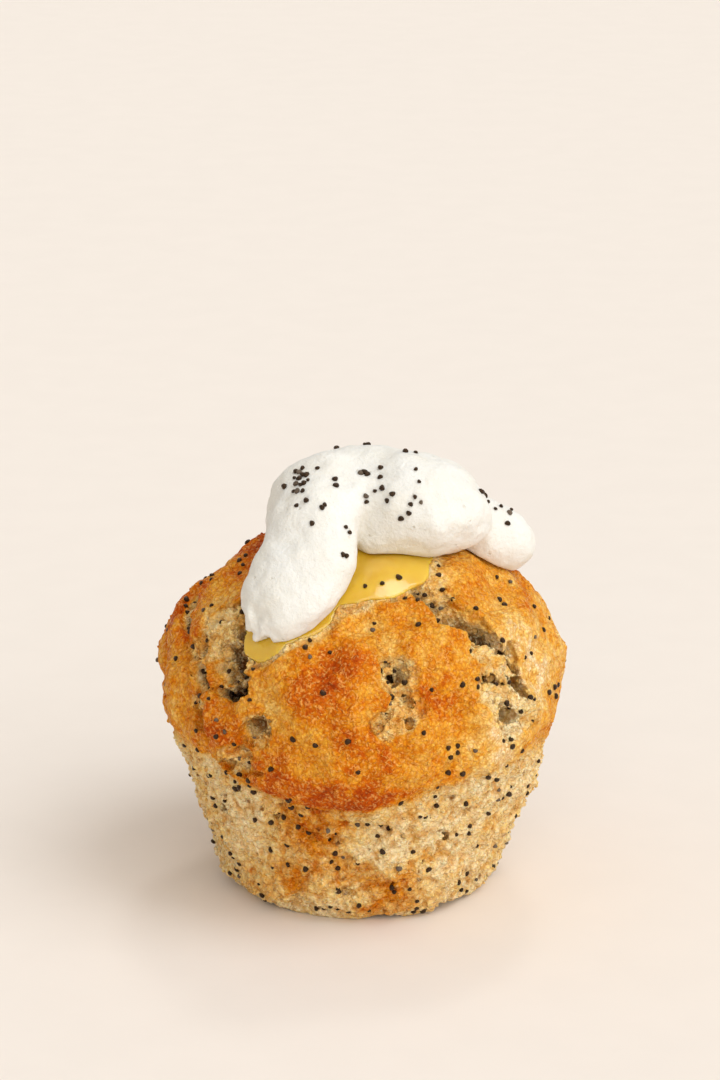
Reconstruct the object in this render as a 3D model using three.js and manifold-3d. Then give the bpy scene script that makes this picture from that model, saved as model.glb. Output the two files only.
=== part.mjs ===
// A domed poppy-seed muffin with a hollow of lemon curd and a spoonful of whipped cream on its crown.
// Millimetres, +Z up. The origin is the centre of the flat foot it stands on, and -Y is the front.
import * as THREE from "three";
import { mergeVertices } from "three/addons/utils/BufferGeometryUtils.js";
import Module from "manifold-3d";

// Baked outline: a flared cup from the tin, a lip where the batter rose over it, and a domed crown.
const FOOT_RADIUS = 25.6;
const FOOT_INSET = 1.8;
const FOOT_ROUNDING = 3;
const CUP_FLARE = 0.314; // mm outwards for each mm up
const LIP_Z = 32;
const LIP_SAG = 5.6;
const LIP_SAG_AZIMUTH = 257; // degrees, at the front left
const LIP_SAG_SPREAD = 36;
const LIP_BULGE = 0.9;
const DOME_RADIUS = 37.8;
const DOME_WAIST_Z = 39.5;
const DOME_RISE = 30.4;
const DOME_POWER = 1.9;

// Rows and columns of the turned cake, and of the plainer copy that levels the curd.
const CRUST_GRID = { around: 72, foot: 2, cup: 7, lip: 4, dome: 18 };
const LEVEL_GRID = { around: 32, foot: 1, cup: 2, lip: 2, dome: 10 };

// Torn cracks in the crust, each along a line on the surface, with its depth and half width.
const CRACKS = [
  { name: "right split", depth: 4.8, half: 3.4, line: [[12.7, -17, 65], [16.9, -21.2, 60.3], [22.7, -22.3, 54.3], [27.8, -22.5, 48.3], [29.8, -23.3, 40.1]] },
  { name: "left cave", depth: 5.6, half: 4.2, line: [[-20, -22.8, 57.4], [-21.5, -26.8, 50.6], [-25.3, -26.6, 46.9], [-29.6, -22.2, 45.2]] },
  { name: "left foot of cave", depth: 2.4, half: 3, line: [[-30.2, -22.4, 43], [-27.3, -25.9, 37.3]] },
  { name: "left crust fold", depth: 1.4, half: 2.8, line: [[-33.8, -6.7, 50.5], [-32.2, -15.5, 48.1]] },
  { name: "middle tear", depth: 2.6, half: 3.2, line: [[3.8, -31.9, 53.9], [6.7, -34.6, 49.1], [6.6, -36.3, 44.8], [3.3, -37.5, 42.2]] },
  { name: "low left tear", depth: 2.2, half: 3, line: [[-15.2, -34.6, 40], [-18, -33.2, 37.6], [-19.2, -31.3, 34.2]] },
  { name: "back right split", depth: 4, half: 3.4, line: [[10, 20, 62], [17, 25, 56], [19, 30, 48], [24, 29, 42]] },
  { name: "back left split", depth: 3.6, half: 3.4, line: [[-15, 18, 62], [-22, 21, 57], [-25, 27, 49], [-34, 17, 42]] },
  { name: "right side tear", depth: 2.4, half: 3.2, line: [[35, 8, 48], [34, 15, 46], [36, 12, 39]] },
];

// Humps of crust between the cracks: centre on the surface, reach and height.
const HUMPS = [
  { at: [-6.5, -33.5, 50], reach: 10, rise: 1.3 },
  { at: [13, -29, 54], reach: 10, rise: 1.1 },
  { at: [-26.7, -26.7, 38.5], reach: 7, rise: 0.9 },
  { at: [-2.5, -35, 31], reach: 11, rise: 0.8 },
  { at: [31, -8, 54], reach: 11, rise: 0.9 },
  { at: [-33.5, -3, 50], reach: 9, rise: 0.8 },
  { at: [0, 33, 51], reach: 12, rise: 1.4 },
  { at: [-30, 19, 50], reach: 10, rise: 0.9 },
  { at: [31, 19, 50], reach: 10, rise: 0.9 },
];

// Coarse unevenness of the crust: [size in mm, waves per mm along x, y and z, phase].
const SWELLS = [
  [0.5, 0.17, 0.11, 0.13, 0.4],
  [0.4, -0.23, 0.29, 0.19, 2.1],
  [0.3, 0.41, -0.37, 0.31, 4.4],
];
const CUP_SWELL = 0.4; // how much of it shows on the cup, which the tin kept even

// The hollow on the crown: round pans that run together, from the crown down the front left.
const HOLLOW_PANS = [
  { at: [-2, -10, 68], reach: 16.2, depth: 7.5 },
  { at: [-12.5, -21.5, 60.7], reach: 8.6, depth: 6.5 },
  { at: [-16.8, -25, 55.6], reach: 4.9, depth: 5 },
];
const PAN_SIDES = 18;
const PAN_ROWS = 10;
const CURD_BELOW_CRUST = 0.7;
const CURD_SEEDS = [[0.6, -21.9], [6.6, -19.4], [3.6, -21.2]];

// Lobes of whipped cream: centre, half sizes along its own length, width and thickness, and where its length points.
const CREAM_LOBES = [
  { name: "bulb", at: [-11.3, -20.4, 67.4], half: [13.6, 10.3, 6.4], along: [-0.36, -0.64, -0.68] },
  { name: "tip", at: [-15.4, -24.6, 61.4], half: [6.2, 6, 3.6], along: [-0.3, -0.6, -0.74] },
  { name: "shoulder", at: [-6.5, -5, 76.3], half: [10.3, 9, 8.6], along: [1, 0, 0] },
  { name: "crown", at: [6, -5, 75], half: [12, 12, 10.2], along: [1, 0, 0] },
  { name: "drift", at: [16.8, -4, 72.8], half: [9, 9, 7.8], along: [1, 0, 0] },
  { name: "neck", at: [22.5, 2, 69.5], half: [5, 5, 5], along: [1, 0, 0] },
  { name: "ball", at: [26.8, 5, 66], half: [6.2, 6.5, 6.8], along: [1, 0, 0] },
  { name: "behind", at: [-11, -3, 71], half: [6.6, 8, 7], along: [1, 0, 0] },
  { name: "back", at: [1, 7, 73], half: [15, 9, 8.5], along: [1, 0, 0] },
];
const LOBE_SIDES = 13;
const LOBE_ROWS = 9;

// Poppy seeds sprinkled on the cream: middle and spread of each patch in plan, and how many fell there.
const CREAM_SEED_PATCHES = [
  { at: [-11, -11], spread: [2.4, 2.6], count: 11 },
  { at: [-9, -15.5], spread: [4, 3.5], count: 5 },
  { at: [-3.4, -23], spread: [1.6, 3], count: 3 },
  { at: [1, -12], spread: [6, 4], count: 7 },
  { at: [7, -15], spread: [6, 3.6], count: 7 },
  { at: [4, 1], spread: [9, 5], count: 5 },
  { at: [23, -4.5], spread: [3, 3], count: 4 },
  { at: [28, 2.5], spread: [3, 4], count: 4 },
];

const SEED_SIZE = [1.25, 1.05, 0.9]; // length, width and thickness
const SEED_SUNK = 0.32;
const CAKE_SEEDS = 98;
const GAP = 0.3;

const COLOURS = { cake: "#c98a3a", curd: "#e3b94a", cream: "#f6f1e4" };

const wasm = await Module();
wasm.setup();

/** A number from 0 to 1 for each index, evenly spread by an irrational step. */
const spread = (index, step) => (0.5 + index * step) % 1;

/** 0 below low, 1 above high, and smooth between them. */
const ramp = (value, low, high) => THREE.MathUtils.smoothstep(value, low, high);

/** Azimuth of a point in degrees, 0 at +X and 270 at the front. */
const azimuthOf = (p) => (THREE.MathUtils.radToDeg(Math.atan2(p.y, p.x)) + 360) % 360;

/** How much the lip sags at an azimuth, from 0 to 1. */
const sagShare = (azimuth) => Math.exp(-(((azimuth - LIP_SAG_AZIMUTH) / LIP_SAG_SPREAD) ** 2));

/** Height of the lip's underside at an azimuth. */
function lipHeight(azimuth) {
  const round = THREE.MathUtils.degToRad(azimuth);
  return LIP_Z - LIP_SAG * sagShare(azimuth) + 0.7 * Math.sin(2 * round + 0.6) + 0.4 * Math.sin(5 * round);
}

/** Radius of the flared cup at a height, with its foot rounded in. */
function cupRadius(z) {
  const worn = Math.max(0, 1 - z / FOOT_ROUNDING);
  return FOOT_RADIUS + CUP_FLARE * z - FOOT_INSET * worn ** 1.5;
}

/** Radius of the dome at a height above its waist. */
function domeRadius(z) {
  const up = Math.min(1, Math.max(0, (z - DOME_WAIST_Z) / DOME_RISE));
  return DOME_RADIUS * (1 - up ** DOME_POWER) ** (1 / DOME_POWER);
}

/** Radius of the whole outline at a height and an azimuth: cup, then lip, then dome. */
function outlineRadius(z, azimuth) {
  const lip = lipHeight(azimuth);
  if (z <= lip) return cupRadius(z);
  if (z >= DOME_WAIST_Z) return domeRadius(z);
  const up = (z - lip) / (DOME_WAIST_Z - lip);
  const bulge = LIP_BULGE * (0.6 + sagShare(azimuth)) * Math.sin(Math.PI * Math.sqrt(up));
  return THREE.MathUtils.lerp(cupRadius(z), DOME_RADIUS, up) + Math.max(0, bulge);
}

/** The way out of the surface at a point: square to the cup, the lip or the dome. */
function outwardAt(p) {
  const radius = Math.hypot(p.x, p.y) || 1e-6;
  const rise = p.z - DOME_WAIST_Z;
  const out = new THREE.Vector3(p.x / radius, p.y / radius, 0);
  if (rise <= 0) return out.setZ(-CUP_FLARE * ramp(-rise, 0, 6)).normalize();
  const level = (radius / DOME_RADIUS) ** (DOME_POWER - 1) / DOME_RADIUS;
  const upright = (rise / DOME_RISE) ** (DOME_POWER - 1) / DOME_RISE;
  return new THREE.Vector3(out.x * level, out.y * level, upright).normalize();
}

/** Distance from a point to a line of points. */
function distanceToLine(p, line) {
  const segment = new THREE.Line3();
  const nearest = new THREE.Vector3();
  return Math.min(
    ...line.slice(1).map((end, i) => {
      segment.start.fromArray(line[i]);
      segment.end.fromArray(end);
      return segment.closestPointToPoint(p, true, nearest).distanceTo(p);
    }),
  );
}

/** Distance from a point to the edge of the nearest pan of the hollow, less than 0 inside. */
function awayFromHollow(p) {
  return Math.min(...HOLLOW_PANS.map((pan) => p.distanceTo(new THREE.Vector3(...pan.at)) - pan.reach));
}

/** Depth of the cracks, less the humps and swells, at a point of the plain outline. */
function reliefAt(p) {
  let depth = 0;
  for (const crack of CRACKS) {
    const away = distanceToLine(p, crack.line) / crack.half;
    depth = Math.max(depth, crack.depth * (1 - ramp(away, 0.15, 1)));
  }
  for (const hump of HUMPS) {
    const away = p.distanceTo(new THREE.Vector3(...hump.at)) / hump.reach;
    depth -= hump.rise * (1 - ramp(away, 0, 1));
  }
  const evenness = THREE.MathUtils.lerp(CUP_SWELL, 1, ramp(p.z, 28, 42));
  for (const [size, x, y, z, phase] of SWELLS) {
    depth -= evenness * size * Math.sin(x * p.x + y * p.y + z * p.z + phase);
  }
  return depth * ramp(p.z, 0, 3);
}

/** Half outline for turning, from the middle of the foot to the top of the crown. */
function neutralOutline(grid) {
  const outline = [new THREE.Vector2(0, 0), new THREE.Vector2(cupRadius(0), 0)];
  for (let i = 1; i <= grid.foot; i++) {
    const z = (FOOT_ROUNDING * i) / grid.foot;
    outline.push(new THREE.Vector2(cupRadius(z), z));
  }
  for (let i = 1; i <= grid.cup; i++) {
    const z = THREE.MathUtils.lerp(FOOT_ROUNDING, LIP_Z, i / grid.cup);
    outline.push(new THREE.Vector2(cupRadius(z), z));
  }
  for (let i = 1; i <= grid.lip; i++) {
    const z = THREE.MathUtils.lerp(LIP_Z, DOME_WAIST_Z, i / grid.lip);
    outline.push(new THREE.Vector2(DOME_RADIUS, z));
  }
  for (let i = 1; i <= grid.dome; i++) {
    const turn = (Math.PI / 2) * (i / grid.dome);
    const z = DOME_WAIST_Z + DOME_RISE * Math.sin(turn) ** (2 / DOME_POWER);
    outline.push(new THREE.Vector2(i === grid.dome ? 0 : domeRadius(z), z));
  }
  return outline;
}

/** Moves a point of the neutral outline to the sagging lip and the uneven crust, sunk by `inset` all over. */
function shapePoint(neutral, inset) {
  const radius = Math.hypot(neutral.x, neutral.y);
  if (neutral.z < 1e-6 || radius < 1e-6) {
    const drop = neutral.z > DOME_WAIST_Z ? reliefAt(neutral) + inset : 0;
    return neutral.clone().setZ(neutral.z - drop);
  }
  const azimuth = azimuthOf(neutral);
  const lip = lipHeight(azimuth);
  let z = neutral.z;
  if (z <= LIP_Z) z *= lip / LIP_Z;
  else if (z < DOME_WAIST_Z) z = THREE.MathUtils.mapLinear(z, LIP_Z, DOME_WAIST_Z, lip, DOME_WAIST_Z);
  const share = outlineRadius(z, azimuth) / radius;
  const plain = new THREE.Vector3(neutral.x * share, neutral.y * share, z);
  const depth = reliefAt(plain) + inset * ramp(z, 0, 1);
  return plain.addScaledVector(outwardAt(plain), -depth);
}

/** The turned and shaped cake as a closed solid without its hollow, sunk by `inset` all over. */
function cakeForm(grid, inset = 0) {
  const geometry = new THREE.LatheGeometry(neutralOutline(grid), grid.around);
  geometry.rotateX(Math.PI / 2);
  const position = geometry.getAttribute("position");
  const p = new THREE.Vector3();
  for (let i = 0; i < position.count; i++) {
    p.fromBufferAttribute(position, i);
    position.setXYZ(i, ...shapePoint(p, inset).toArray());
  }
  return solidOf(geometry);
}

/** One closed three.js geometry as a solid, facing out. */
function solidOf(geometry) {
  const bare = geometry.clone();
  bare.deleteAttribute("normal");
  bare.deleteAttribute("uv");
  const merged = mergeVertices(bare, 1e-4);
  const corners = merged.index.array;
  const kept = [];
  for (let i = 0; i < corners.length; i += 3) {
    const [a, b, c] = corners.subarray(i, i + 3);
    if (a !== b && b !== c && c !== a) kept.push(a, b, c);
  }
  const build = (triangles) =>
    new wasm.Manifold(
      new wasm.Mesh({
        numProp: 3,
        vertProperties: new Float32Array(merged.getAttribute("position").array),
        triVerts: new Uint32Array(triangles),
      }),
    );
  const solid = build(kept);
  return solid.volume() > 0 ? solid : build(kept.reverse());
}

/** A solid as a three.js geometry with flat faces. */
function geometryOf(solid) {
  const mesh = solid.getMesh();
  const geometry = new THREE.BufferGeometry();
  geometry.setAttribute("position", new THREE.BufferAttribute(new Float32Array(mesh.vertProperties), 3));
  geometry.setIndex(new THREE.BufferAttribute(new Uint32Array(mesh.triVerts), 1));
  const faceted = geometry.toNonIndexed();
  faceted.computeVertexNormals();
  return faceted;
}

/** The largest of a solid's separate bodies. */
function largestBody(solid) {
  return solid.decompose().reduce((a, b) => (a.volume() > b.volume() ? a : b));
}

/** Joins many solids into the first. */
const joined = (first, others) => others.reduce((all, one) => all.add(one), first);

/** One poppy seed, lying at a point with its flatter side along the way out. */
function poppySeed(point, outward, turn, size) {
  const geometry = new THREE.IcosahedronGeometry(0.5, 0);
  geometry.scale(...SEED_SIZE.map((side) => side * size));
  geometry.rotateZ(turn * Math.PI);
  const lie = new THREE.Quaternion().setFromUnitVectors(new THREE.Vector3(0, 0, 1), outward);
  geometry.applyQuaternion(lie);
  geometry.translate(...point.clone().addScaledVector(outward, (SEED_SIZE[2] / 2) * size - SEED_SUNK).toArray());
  return solidOf(geometry);
}

/** Where a ray from `from` along `way` first meets a solid's mesh: the point and the face's way out. */
function firstHit(mesh, from, way) {
  const [hit] = new THREE.Raycaster(from, way).intersectObject(mesh, false);
  return hit ? { point: hit.point, outward: hit.face.normal.clone() } : null;
}

/** A mesh to cast rays at. */
const targetOf = (solid) => new THREE.Mesh(geometryOf(solid), new THREE.MeshBasicMaterial({ side: THREE.DoubleSide }));

/** Which way a lobe's length, width and thickness point. */
function lobeTurn(lobe) {
  const length = new THREE.Vector3(...lobe.along).normalize();
  const width = new THREE.Vector3(0, 0, 1).cross(length).normalize();
  const thickness = length.clone().cross(width);
  return new THREE.Matrix4().makeBasis(length, width, thickness);
}

/** One lobe of whipped cream. */
function creamLobe(lobe) {
  const geometry = new THREE.SphereGeometry(1, LOBE_SIDES, LOBE_ROWS);
  geometry.scale(...lobe.half);
  geometry.applyMatrix4(lobeTurn(lobe));
  geometry.translate(...lobe.at);
  return solidOf(geometry);
}

/** How far outside the nearest lobe a point is, as a rough distance. */
function awayFromCream(p) {
  return Math.min(
    ...CREAM_LOBES.map((lobe) => {
      const local = p.clone().sub(new THREE.Vector3(...lobe.at));
      local.applyMatrix4(lobeTurn(lobe).transpose());
      const scaled = local.divide(new THREE.Vector3(...lobe.half)).length();
      return (scaled - 1) * Math.min(...lobe.half);
    }),
  );
}

/** The cake with the seeds baked into its crust, largest first and evenly spread. */
function cake(form) {
  const target = targetOf(form);
  const seeds = [];
  const axis = new THREE.Vector3();
  for (let i = 0; i < CAKE_SEEDS; i++) {
    const turn = spread(i, 0.7548776662);
    const azimuth = 2 * Math.PI * turn;
    const height = THREE.MathUtils.lerp(3, 68, spread(i, 0.569840291));
    const round = new THREE.Vector3(Math.cos(azimuth), Math.sin(azimuth), 0);
    const up = ramp(height, 48, 70);
    axis.set(0, 0, THREE.MathUtils.lerp(height, 44, up));
    const way = round.clone().multiplyScalar(1 - up * 0.8).setZ(up).normalize();
    const hit = firstHit(target, axis.clone().addScaledVector(way, 60), way.clone().negate());
    if (!hit || hit.point.z < 2.5) continue;
    if (awayFromCream(hit.point) < 1.6 || awayFromHollow(hit.point) < 1) continue;
    seeds.push(poppySeed(hit.point, hit.outward, turn, 1.1 - 0.25 * (i / CAKE_SEEDS)));
  }
  return joined(form, seeds);
}

/** The bowl of the hollow, made smaller by `inset` all round. */
function hollow(inset = 0) {
  const pans = HOLLOW_PANS.map((pan) => {
    const middle = new THREE.Vector3(...pan.at);
    const geometry = new THREE.SphereGeometry(1, PAN_SIDES, PAN_ROWS);
    geometry.scale(pan.reach - inset, pan.depth - inset, pan.reach - inset);
    geometry.applyQuaternion(new THREE.Quaternion().setFromUnitVectors(new THREE.Vector3(0, 1, 0), outwardAt(middle)));
    geometry.translate(...pan.at);
    return solidOf(geometry);
  });
  return joined(pans[0], pans.slice(1));
}

/** The curd that fills the hollow, with the seeds that fell on it. */
function curd() {
  const body = largestBody(hollow(GAP).intersect(cakeForm(LEVEL_GRID, CURD_BELOW_CRUST)));
  const target = targetOf(body);
  const seeds = CURD_SEEDS.map(([x, y], i) => {
    const hit = firstHit(target, new THREE.Vector3(x, y, 120), new THREE.Vector3(0, 0, -1));
    return poppySeed(hit.point, hit.outward, spread(i, 0.7548776662), 1);
  });
  return joined(body, seeds);
}

/** The spoonful of cream, cut to rest on the cake and the curd, with the seeds sprinkled over it. */
function cream() {
  const grownCake = cakeForm(CRUST_GRID, -GAP).subtract(hollow(GAP));
  const grownCurd = cakeForm(LEVEL_GRID, CURD_BELOW_CRUST - GAP);
  const lobes = CREAM_LOBES.map((lobe) => creamLobe(lobe));
  const body = largestBody(joined(lobes[0], lobes.slice(1)).subtract(grownCake).subtract(grownCurd));
  const target = targetOf(body);
  const seeds = [];
  let index = 0;
  for (const patch of CREAM_SEED_PATCHES) {
    for (let i = 0; i < patch.count; i++) {
      index++;
      const reach = Math.sqrt((i + 0.5) / patch.count);
      const round = index * 2.399963;
      const x = patch.at[0] + patch.spread[0] * reach * Math.cos(round);
      const y = patch.at[1] + patch.spread[1] * reach * Math.sin(round);
      const hit = firstHit(target, new THREE.Vector3(x, y, 120), new THREE.Vector3(0, 0, -1));
      if (!hit || hit.outward.z < 0.1) continue;
      seeds.push(poppySeed(hit.point, hit.outward, spread(index, 0.7548776662), 1 - 0.15 * spread(index, 0.569840291)));
    }
  }
  return joined(body, seeds);
}

/** A named mesh of one solid in its own colour. */
function piece(name, solid, colour, roughness) {
  const material = new THREE.MeshStandardMaterial({ color: colour, roughness, metalness: 0 });
  const mesh = new THREE.Mesh(geometryOf(solid), material);
  mesh.name = name;
  return mesh;
}

const muffin = new THREE.Group();
muffin.add(piece("muffin_cake", cake(cakeForm(CRUST_GRID).subtract(hollow())), COLOURS.cake, 0.75));
muffin.add(piece("lemon_curd", curd(), COLOURS.curd, 0.2));
muffin.add(piece("whipped_cream", cream(), COLOURS.cream, 0.55));

export default muffin;
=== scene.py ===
"""A poppy-seed muffin with a hollow of lemon curd and a spoonful of whipped cream."""
import logging
import math
from dataclasses import dataclass, field
from enum import Enum
from functools import reduce
from typing import Callable, Sequence

import bpy
import numpy as np
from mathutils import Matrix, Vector
from mathutils.bvhtree import BVHTree


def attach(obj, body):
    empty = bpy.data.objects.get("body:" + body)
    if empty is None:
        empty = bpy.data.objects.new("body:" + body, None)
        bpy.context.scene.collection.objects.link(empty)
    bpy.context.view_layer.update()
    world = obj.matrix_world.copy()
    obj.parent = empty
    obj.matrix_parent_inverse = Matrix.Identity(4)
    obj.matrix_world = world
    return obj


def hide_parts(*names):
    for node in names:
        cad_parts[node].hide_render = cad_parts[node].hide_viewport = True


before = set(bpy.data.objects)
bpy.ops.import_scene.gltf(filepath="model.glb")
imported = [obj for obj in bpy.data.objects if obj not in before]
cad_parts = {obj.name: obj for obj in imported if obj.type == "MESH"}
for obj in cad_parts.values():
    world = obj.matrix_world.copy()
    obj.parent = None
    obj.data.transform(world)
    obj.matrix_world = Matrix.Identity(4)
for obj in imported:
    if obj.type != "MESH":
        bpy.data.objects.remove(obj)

LOG = logging.getLogger("muffin")
MM = 0.001  # metres in a millimetre; forms are worked out in millimetres
ROOT = "root"
GOLDEN_TURN = 2.399963  # radians between the seeds of a spiral, so that they never line up
Triple = tuple[float, float, float]


class Slot(Enum):
    """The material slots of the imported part."""

    CAKE = "cake"
    CURD = "curd"
    CREAM = "cream"


class Node(Enum):
    """The solids that the dressed pieces stand for."""

    CAKE = "muffin_cake"
    CURD = "lemon_curd"
    CREAM = "whipped_cream"


# Numbers and fields


def ramp(value: np.ndarray, low: float, high: float) -> np.ndarray:
    """0 below low, 1 above high and smooth between, for each value.

    Args:
        value: The values.
        low: Where the ramp starts.
        high: Where it ends.

    Returns:
        One share for each value.
    """
    share = np.clip((value - low) / (high - low), 0.0, 1.0)
    return share * share * (3.0 - 2.0 * share)


def blend_union(a: np.ndarray, b: np.ndarray, soft: float) -> np.ndarray:
    """Joins two distance fields with a fillet.

    Args:
        a: Distances to one form, less than 0 inside.
        b: Distances to the other.
        soft: Width of the fillet in millimetres.

    Returns:
        Distances to the two together.
    """
    share = np.clip(0.5 + 0.5 * (a - b) / soft, 0.0, 1.0)
    return a * (1.0 - share) + b * share - soft * share * (1.0 - share)


def blend_cut(a: np.ndarray, b: np.ndarray, soft: float) -> np.ndarray:
    """Cuts form b out of form a and rounds the edge by soft millimetres."""
    return -blend_union(-a, b, soft)


def unit(rows: np.ndarray) -> np.ndarray:
    """Each row as a vector of length 1."""
    return rows / np.maximum(np.linalg.norm(rows, axis=-1, keepdims=True), 1e-9)


class Grain:
    """Random fields in space: soft noise and round cells, the same on each run."""

    SIDE = 32
    TURN = np.array([[0.36, 0.48, -0.8], [-0.8, 0.6, 0.0], [0.48, 0.64, 0.6]], np.float32)

    def __init__(self, seed: int) -> None:
        """Fills the lattice that the fields are read from.

        Args:
            seed: Number that fixes the random values.
        """
        source = np.random.default_rng(seed)
        count = self.SIDE**3
        self.values = source.uniform(-1.0, 1.0, count).astype(np.float32)
        self.places = source.uniform(0.0, 1.0, (count, 3)).astype(np.float32)

    def _index(self, cell: np.ndarray) -> np.ndarray:
        """Place of each lattice cell in the tables."""
        wrapped = cell % self.SIDE
        return (wrapped[:, 0] * self.SIDE + wrapped[:, 1]) * self.SIDE + wrapped[:, 2]

    def soft(self, points: np.ndarray, size: float) -> np.ndarray:
        """Soft noise from about -1 to 1.

        Args:
            points: Places in millimetres, one a row.
            size: Size of its lumps in millimetres.

        Returns:
            One value for each point.
        """
        place = (points.astype(np.float32) @ self.TURN) / size + 97.3
        cell = np.floor(place).astype(np.int32)
        part = place - cell
        part = part * part * (3.0 - 2.0 * part)
        total = np.zeros(len(points), np.float32)
        for corner in range(8):
            step = np.array([corner >> 2 & 1, corner >> 1 & 1, corner & 1], np.int32)
            weight = np.prod(np.where(step, part, 1.0 - part), axis=1)
            total += weight * self.values[self._index(cell + step)]
        return total * 1.35

    def layered(self, points: np.ndarray, size: float, layers: int = 3) -> np.ndarray:
        """Soft noise in layers, each half the size and a bit over half the height of the last.

        Args:
            points: Places in millimetres, one a row.
            size: Size of the largest lumps in millimetres.
            layers: How many layers there are.

        Returns:
            One value for each point.
        """
        total = np.zeros(len(points), np.float32)
        for layer in range(layers):
            total += self.soft(points + 13.7 * layer, size / 2**layer) * 0.55**layer
        return total

    def cells(self, points: np.ndarray, size: float) -> tuple[np.ndarray, np.ndarray]:
        """Round cells scattered in space.

        Args:
            points: Places in millimetres, one a row.
            size: Spacing of the cells in millimetres.

        Returns:
            The distance to the nearest cell's middle, in cell sizes, and a random number for that cell.
        """
        place = points.astype(np.float32) / size + 61.7
        cell = np.floor(place).astype(np.int32)
        part = place - cell
        nearest = np.full(len(points), 9.0, np.float32)
        mark = np.zeros(len(points), np.float32)
        for corner in range(27):
            step = np.array([corner // 9 - 1, corner // 3 % 3 - 1, corner % 3 - 1], np.int32)
            index = self._index(cell + step)
            away = np.linalg.norm(self.places[index] + step - part, axis=1)
            closer = away < nearest
            nearest = np.where(closer, away, nearest)
            mark = np.where(closer, self.values[index] * 0.5 + 0.5, mark)
        return nearest, mark


def surface_net(values: np.ndarray, low: np.ndarray, step: float) -> tuple[np.ndarray, np.ndarray]:
    """Wraps the zero level of a field on a grid in a closed net of quads.

    Args:
        values: The field, less than 0 inside.
        low: Place of the grid's first corner in millimetres.
        step: Spacing of the grid in millimetres.

    Returns:
        The net's points in millimetres and its quads, facing out.
    """
    inside = values < 0
    counts = np.zeros(tuple(n - 1 for n in values.shape), np.int8)
    corners = [(i, j, k) for i in (0, 1) for j in (0, 1) for k in (0, 1)]
    for corner in corners:
        counts += inside[tuple(slice(c, c + n) for c, n in zip(corner, counts.shape))]
    active = np.argwhere((counts > 0) & (counts < 8))
    number = np.full(counts.shape, -1, np.int64)
    number[tuple(active.T)] = np.arange(len(active))
    total = np.zeros((len(active), 3))
    hits = np.zeros(len(active))
    for start in corners:
        for axis in range(3):
            if start[axis]:
                continue
            end = tuple(s + (a == axis) for a, s in enumerate(start))
            one = values[tuple((active + start).T)]
            two = values[tuple((active + end).T)]
            crossed = (one < 0) != (two < 0)
            share = np.where(crossed, one / np.where(crossed, one - two, 1.0), 0.0)
            place = np.array(start, float) + share[:, None] * (np.arange(3) == axis)
            total += np.where(crossed[:, None], place, 0.0)
            hits += crossed
    points = low + (active + total / hits[:, None]) * step
    quads = []
    for axis in range(3):
        other, third = (axis + 1) % 3, (axis + 2) % 3
        body = [slice(1, n - 1) for n in values.shape]
        body[axis] = slice(0, values.shape[axis] - 1)
        ahead = list(body)
        ahead[axis] = slice(1, values.shape[axis])
        one, two = inside[tuple(body)], inside[tuple(ahead)]
        for flip in (False, True):
            found = np.argwhere(two & ~one if flip else one & ~two)
            found = found + [0 if a == axis else 1 for a in range(3)]
            ring = []
            for back, side in ((1, 1), (0, 1), (0, 0), (1, 0)):
                cell = found.copy()
                cell[:, other] -= back
                cell[:, third] -= side
                ring.append(number[tuple(cell.T)])
            ring = np.stack(ring, axis=1)
            quads.append(ring[:, ::-1] if flip else ring)
    return points, np.concatenate(quads)


def field_net(
    distance: Callable[[np.ndarray], np.ndarray],
    near: Callable[[np.ndarray], np.ndarray],
    low: Triple,
    high: Triple,
    step: float,
    reach: tuple[float, float],
) -> tuple[np.ndarray, np.ndarray]:
    """Nets a form, working its full field out only near its plain outline.

    Args:
        distance: The full field.
        near: A quick field that the full one stays close to.
        low: Lowest corner of the space that holds the form, in millimetres.
        high: Highest corner.
        step: Grid spacing in millimetres.
        reach: How far inside and outside the quick field's zero the full field is worked out.

    Returns:
        Points and quads, as surface_net gives them.
    """
    axes = [np.arange(a, b + step, step, dtype=np.float32) for a, b in zip(low, high)]
    grid = np.stack(np.meshgrid(*axes, indexing="ij"), axis=-1)
    shape = grid.shape[:3]
    points = grid.reshape(-1, 3)
    values = near(points).astype(np.float32)
    band = np.flatnonzero((values > -reach[0]) & (values < reach[1]))
    values[band] = distance(points[band])
    return surface_net(values.reshape(shape), np.array(low), step)


# Forms


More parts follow.
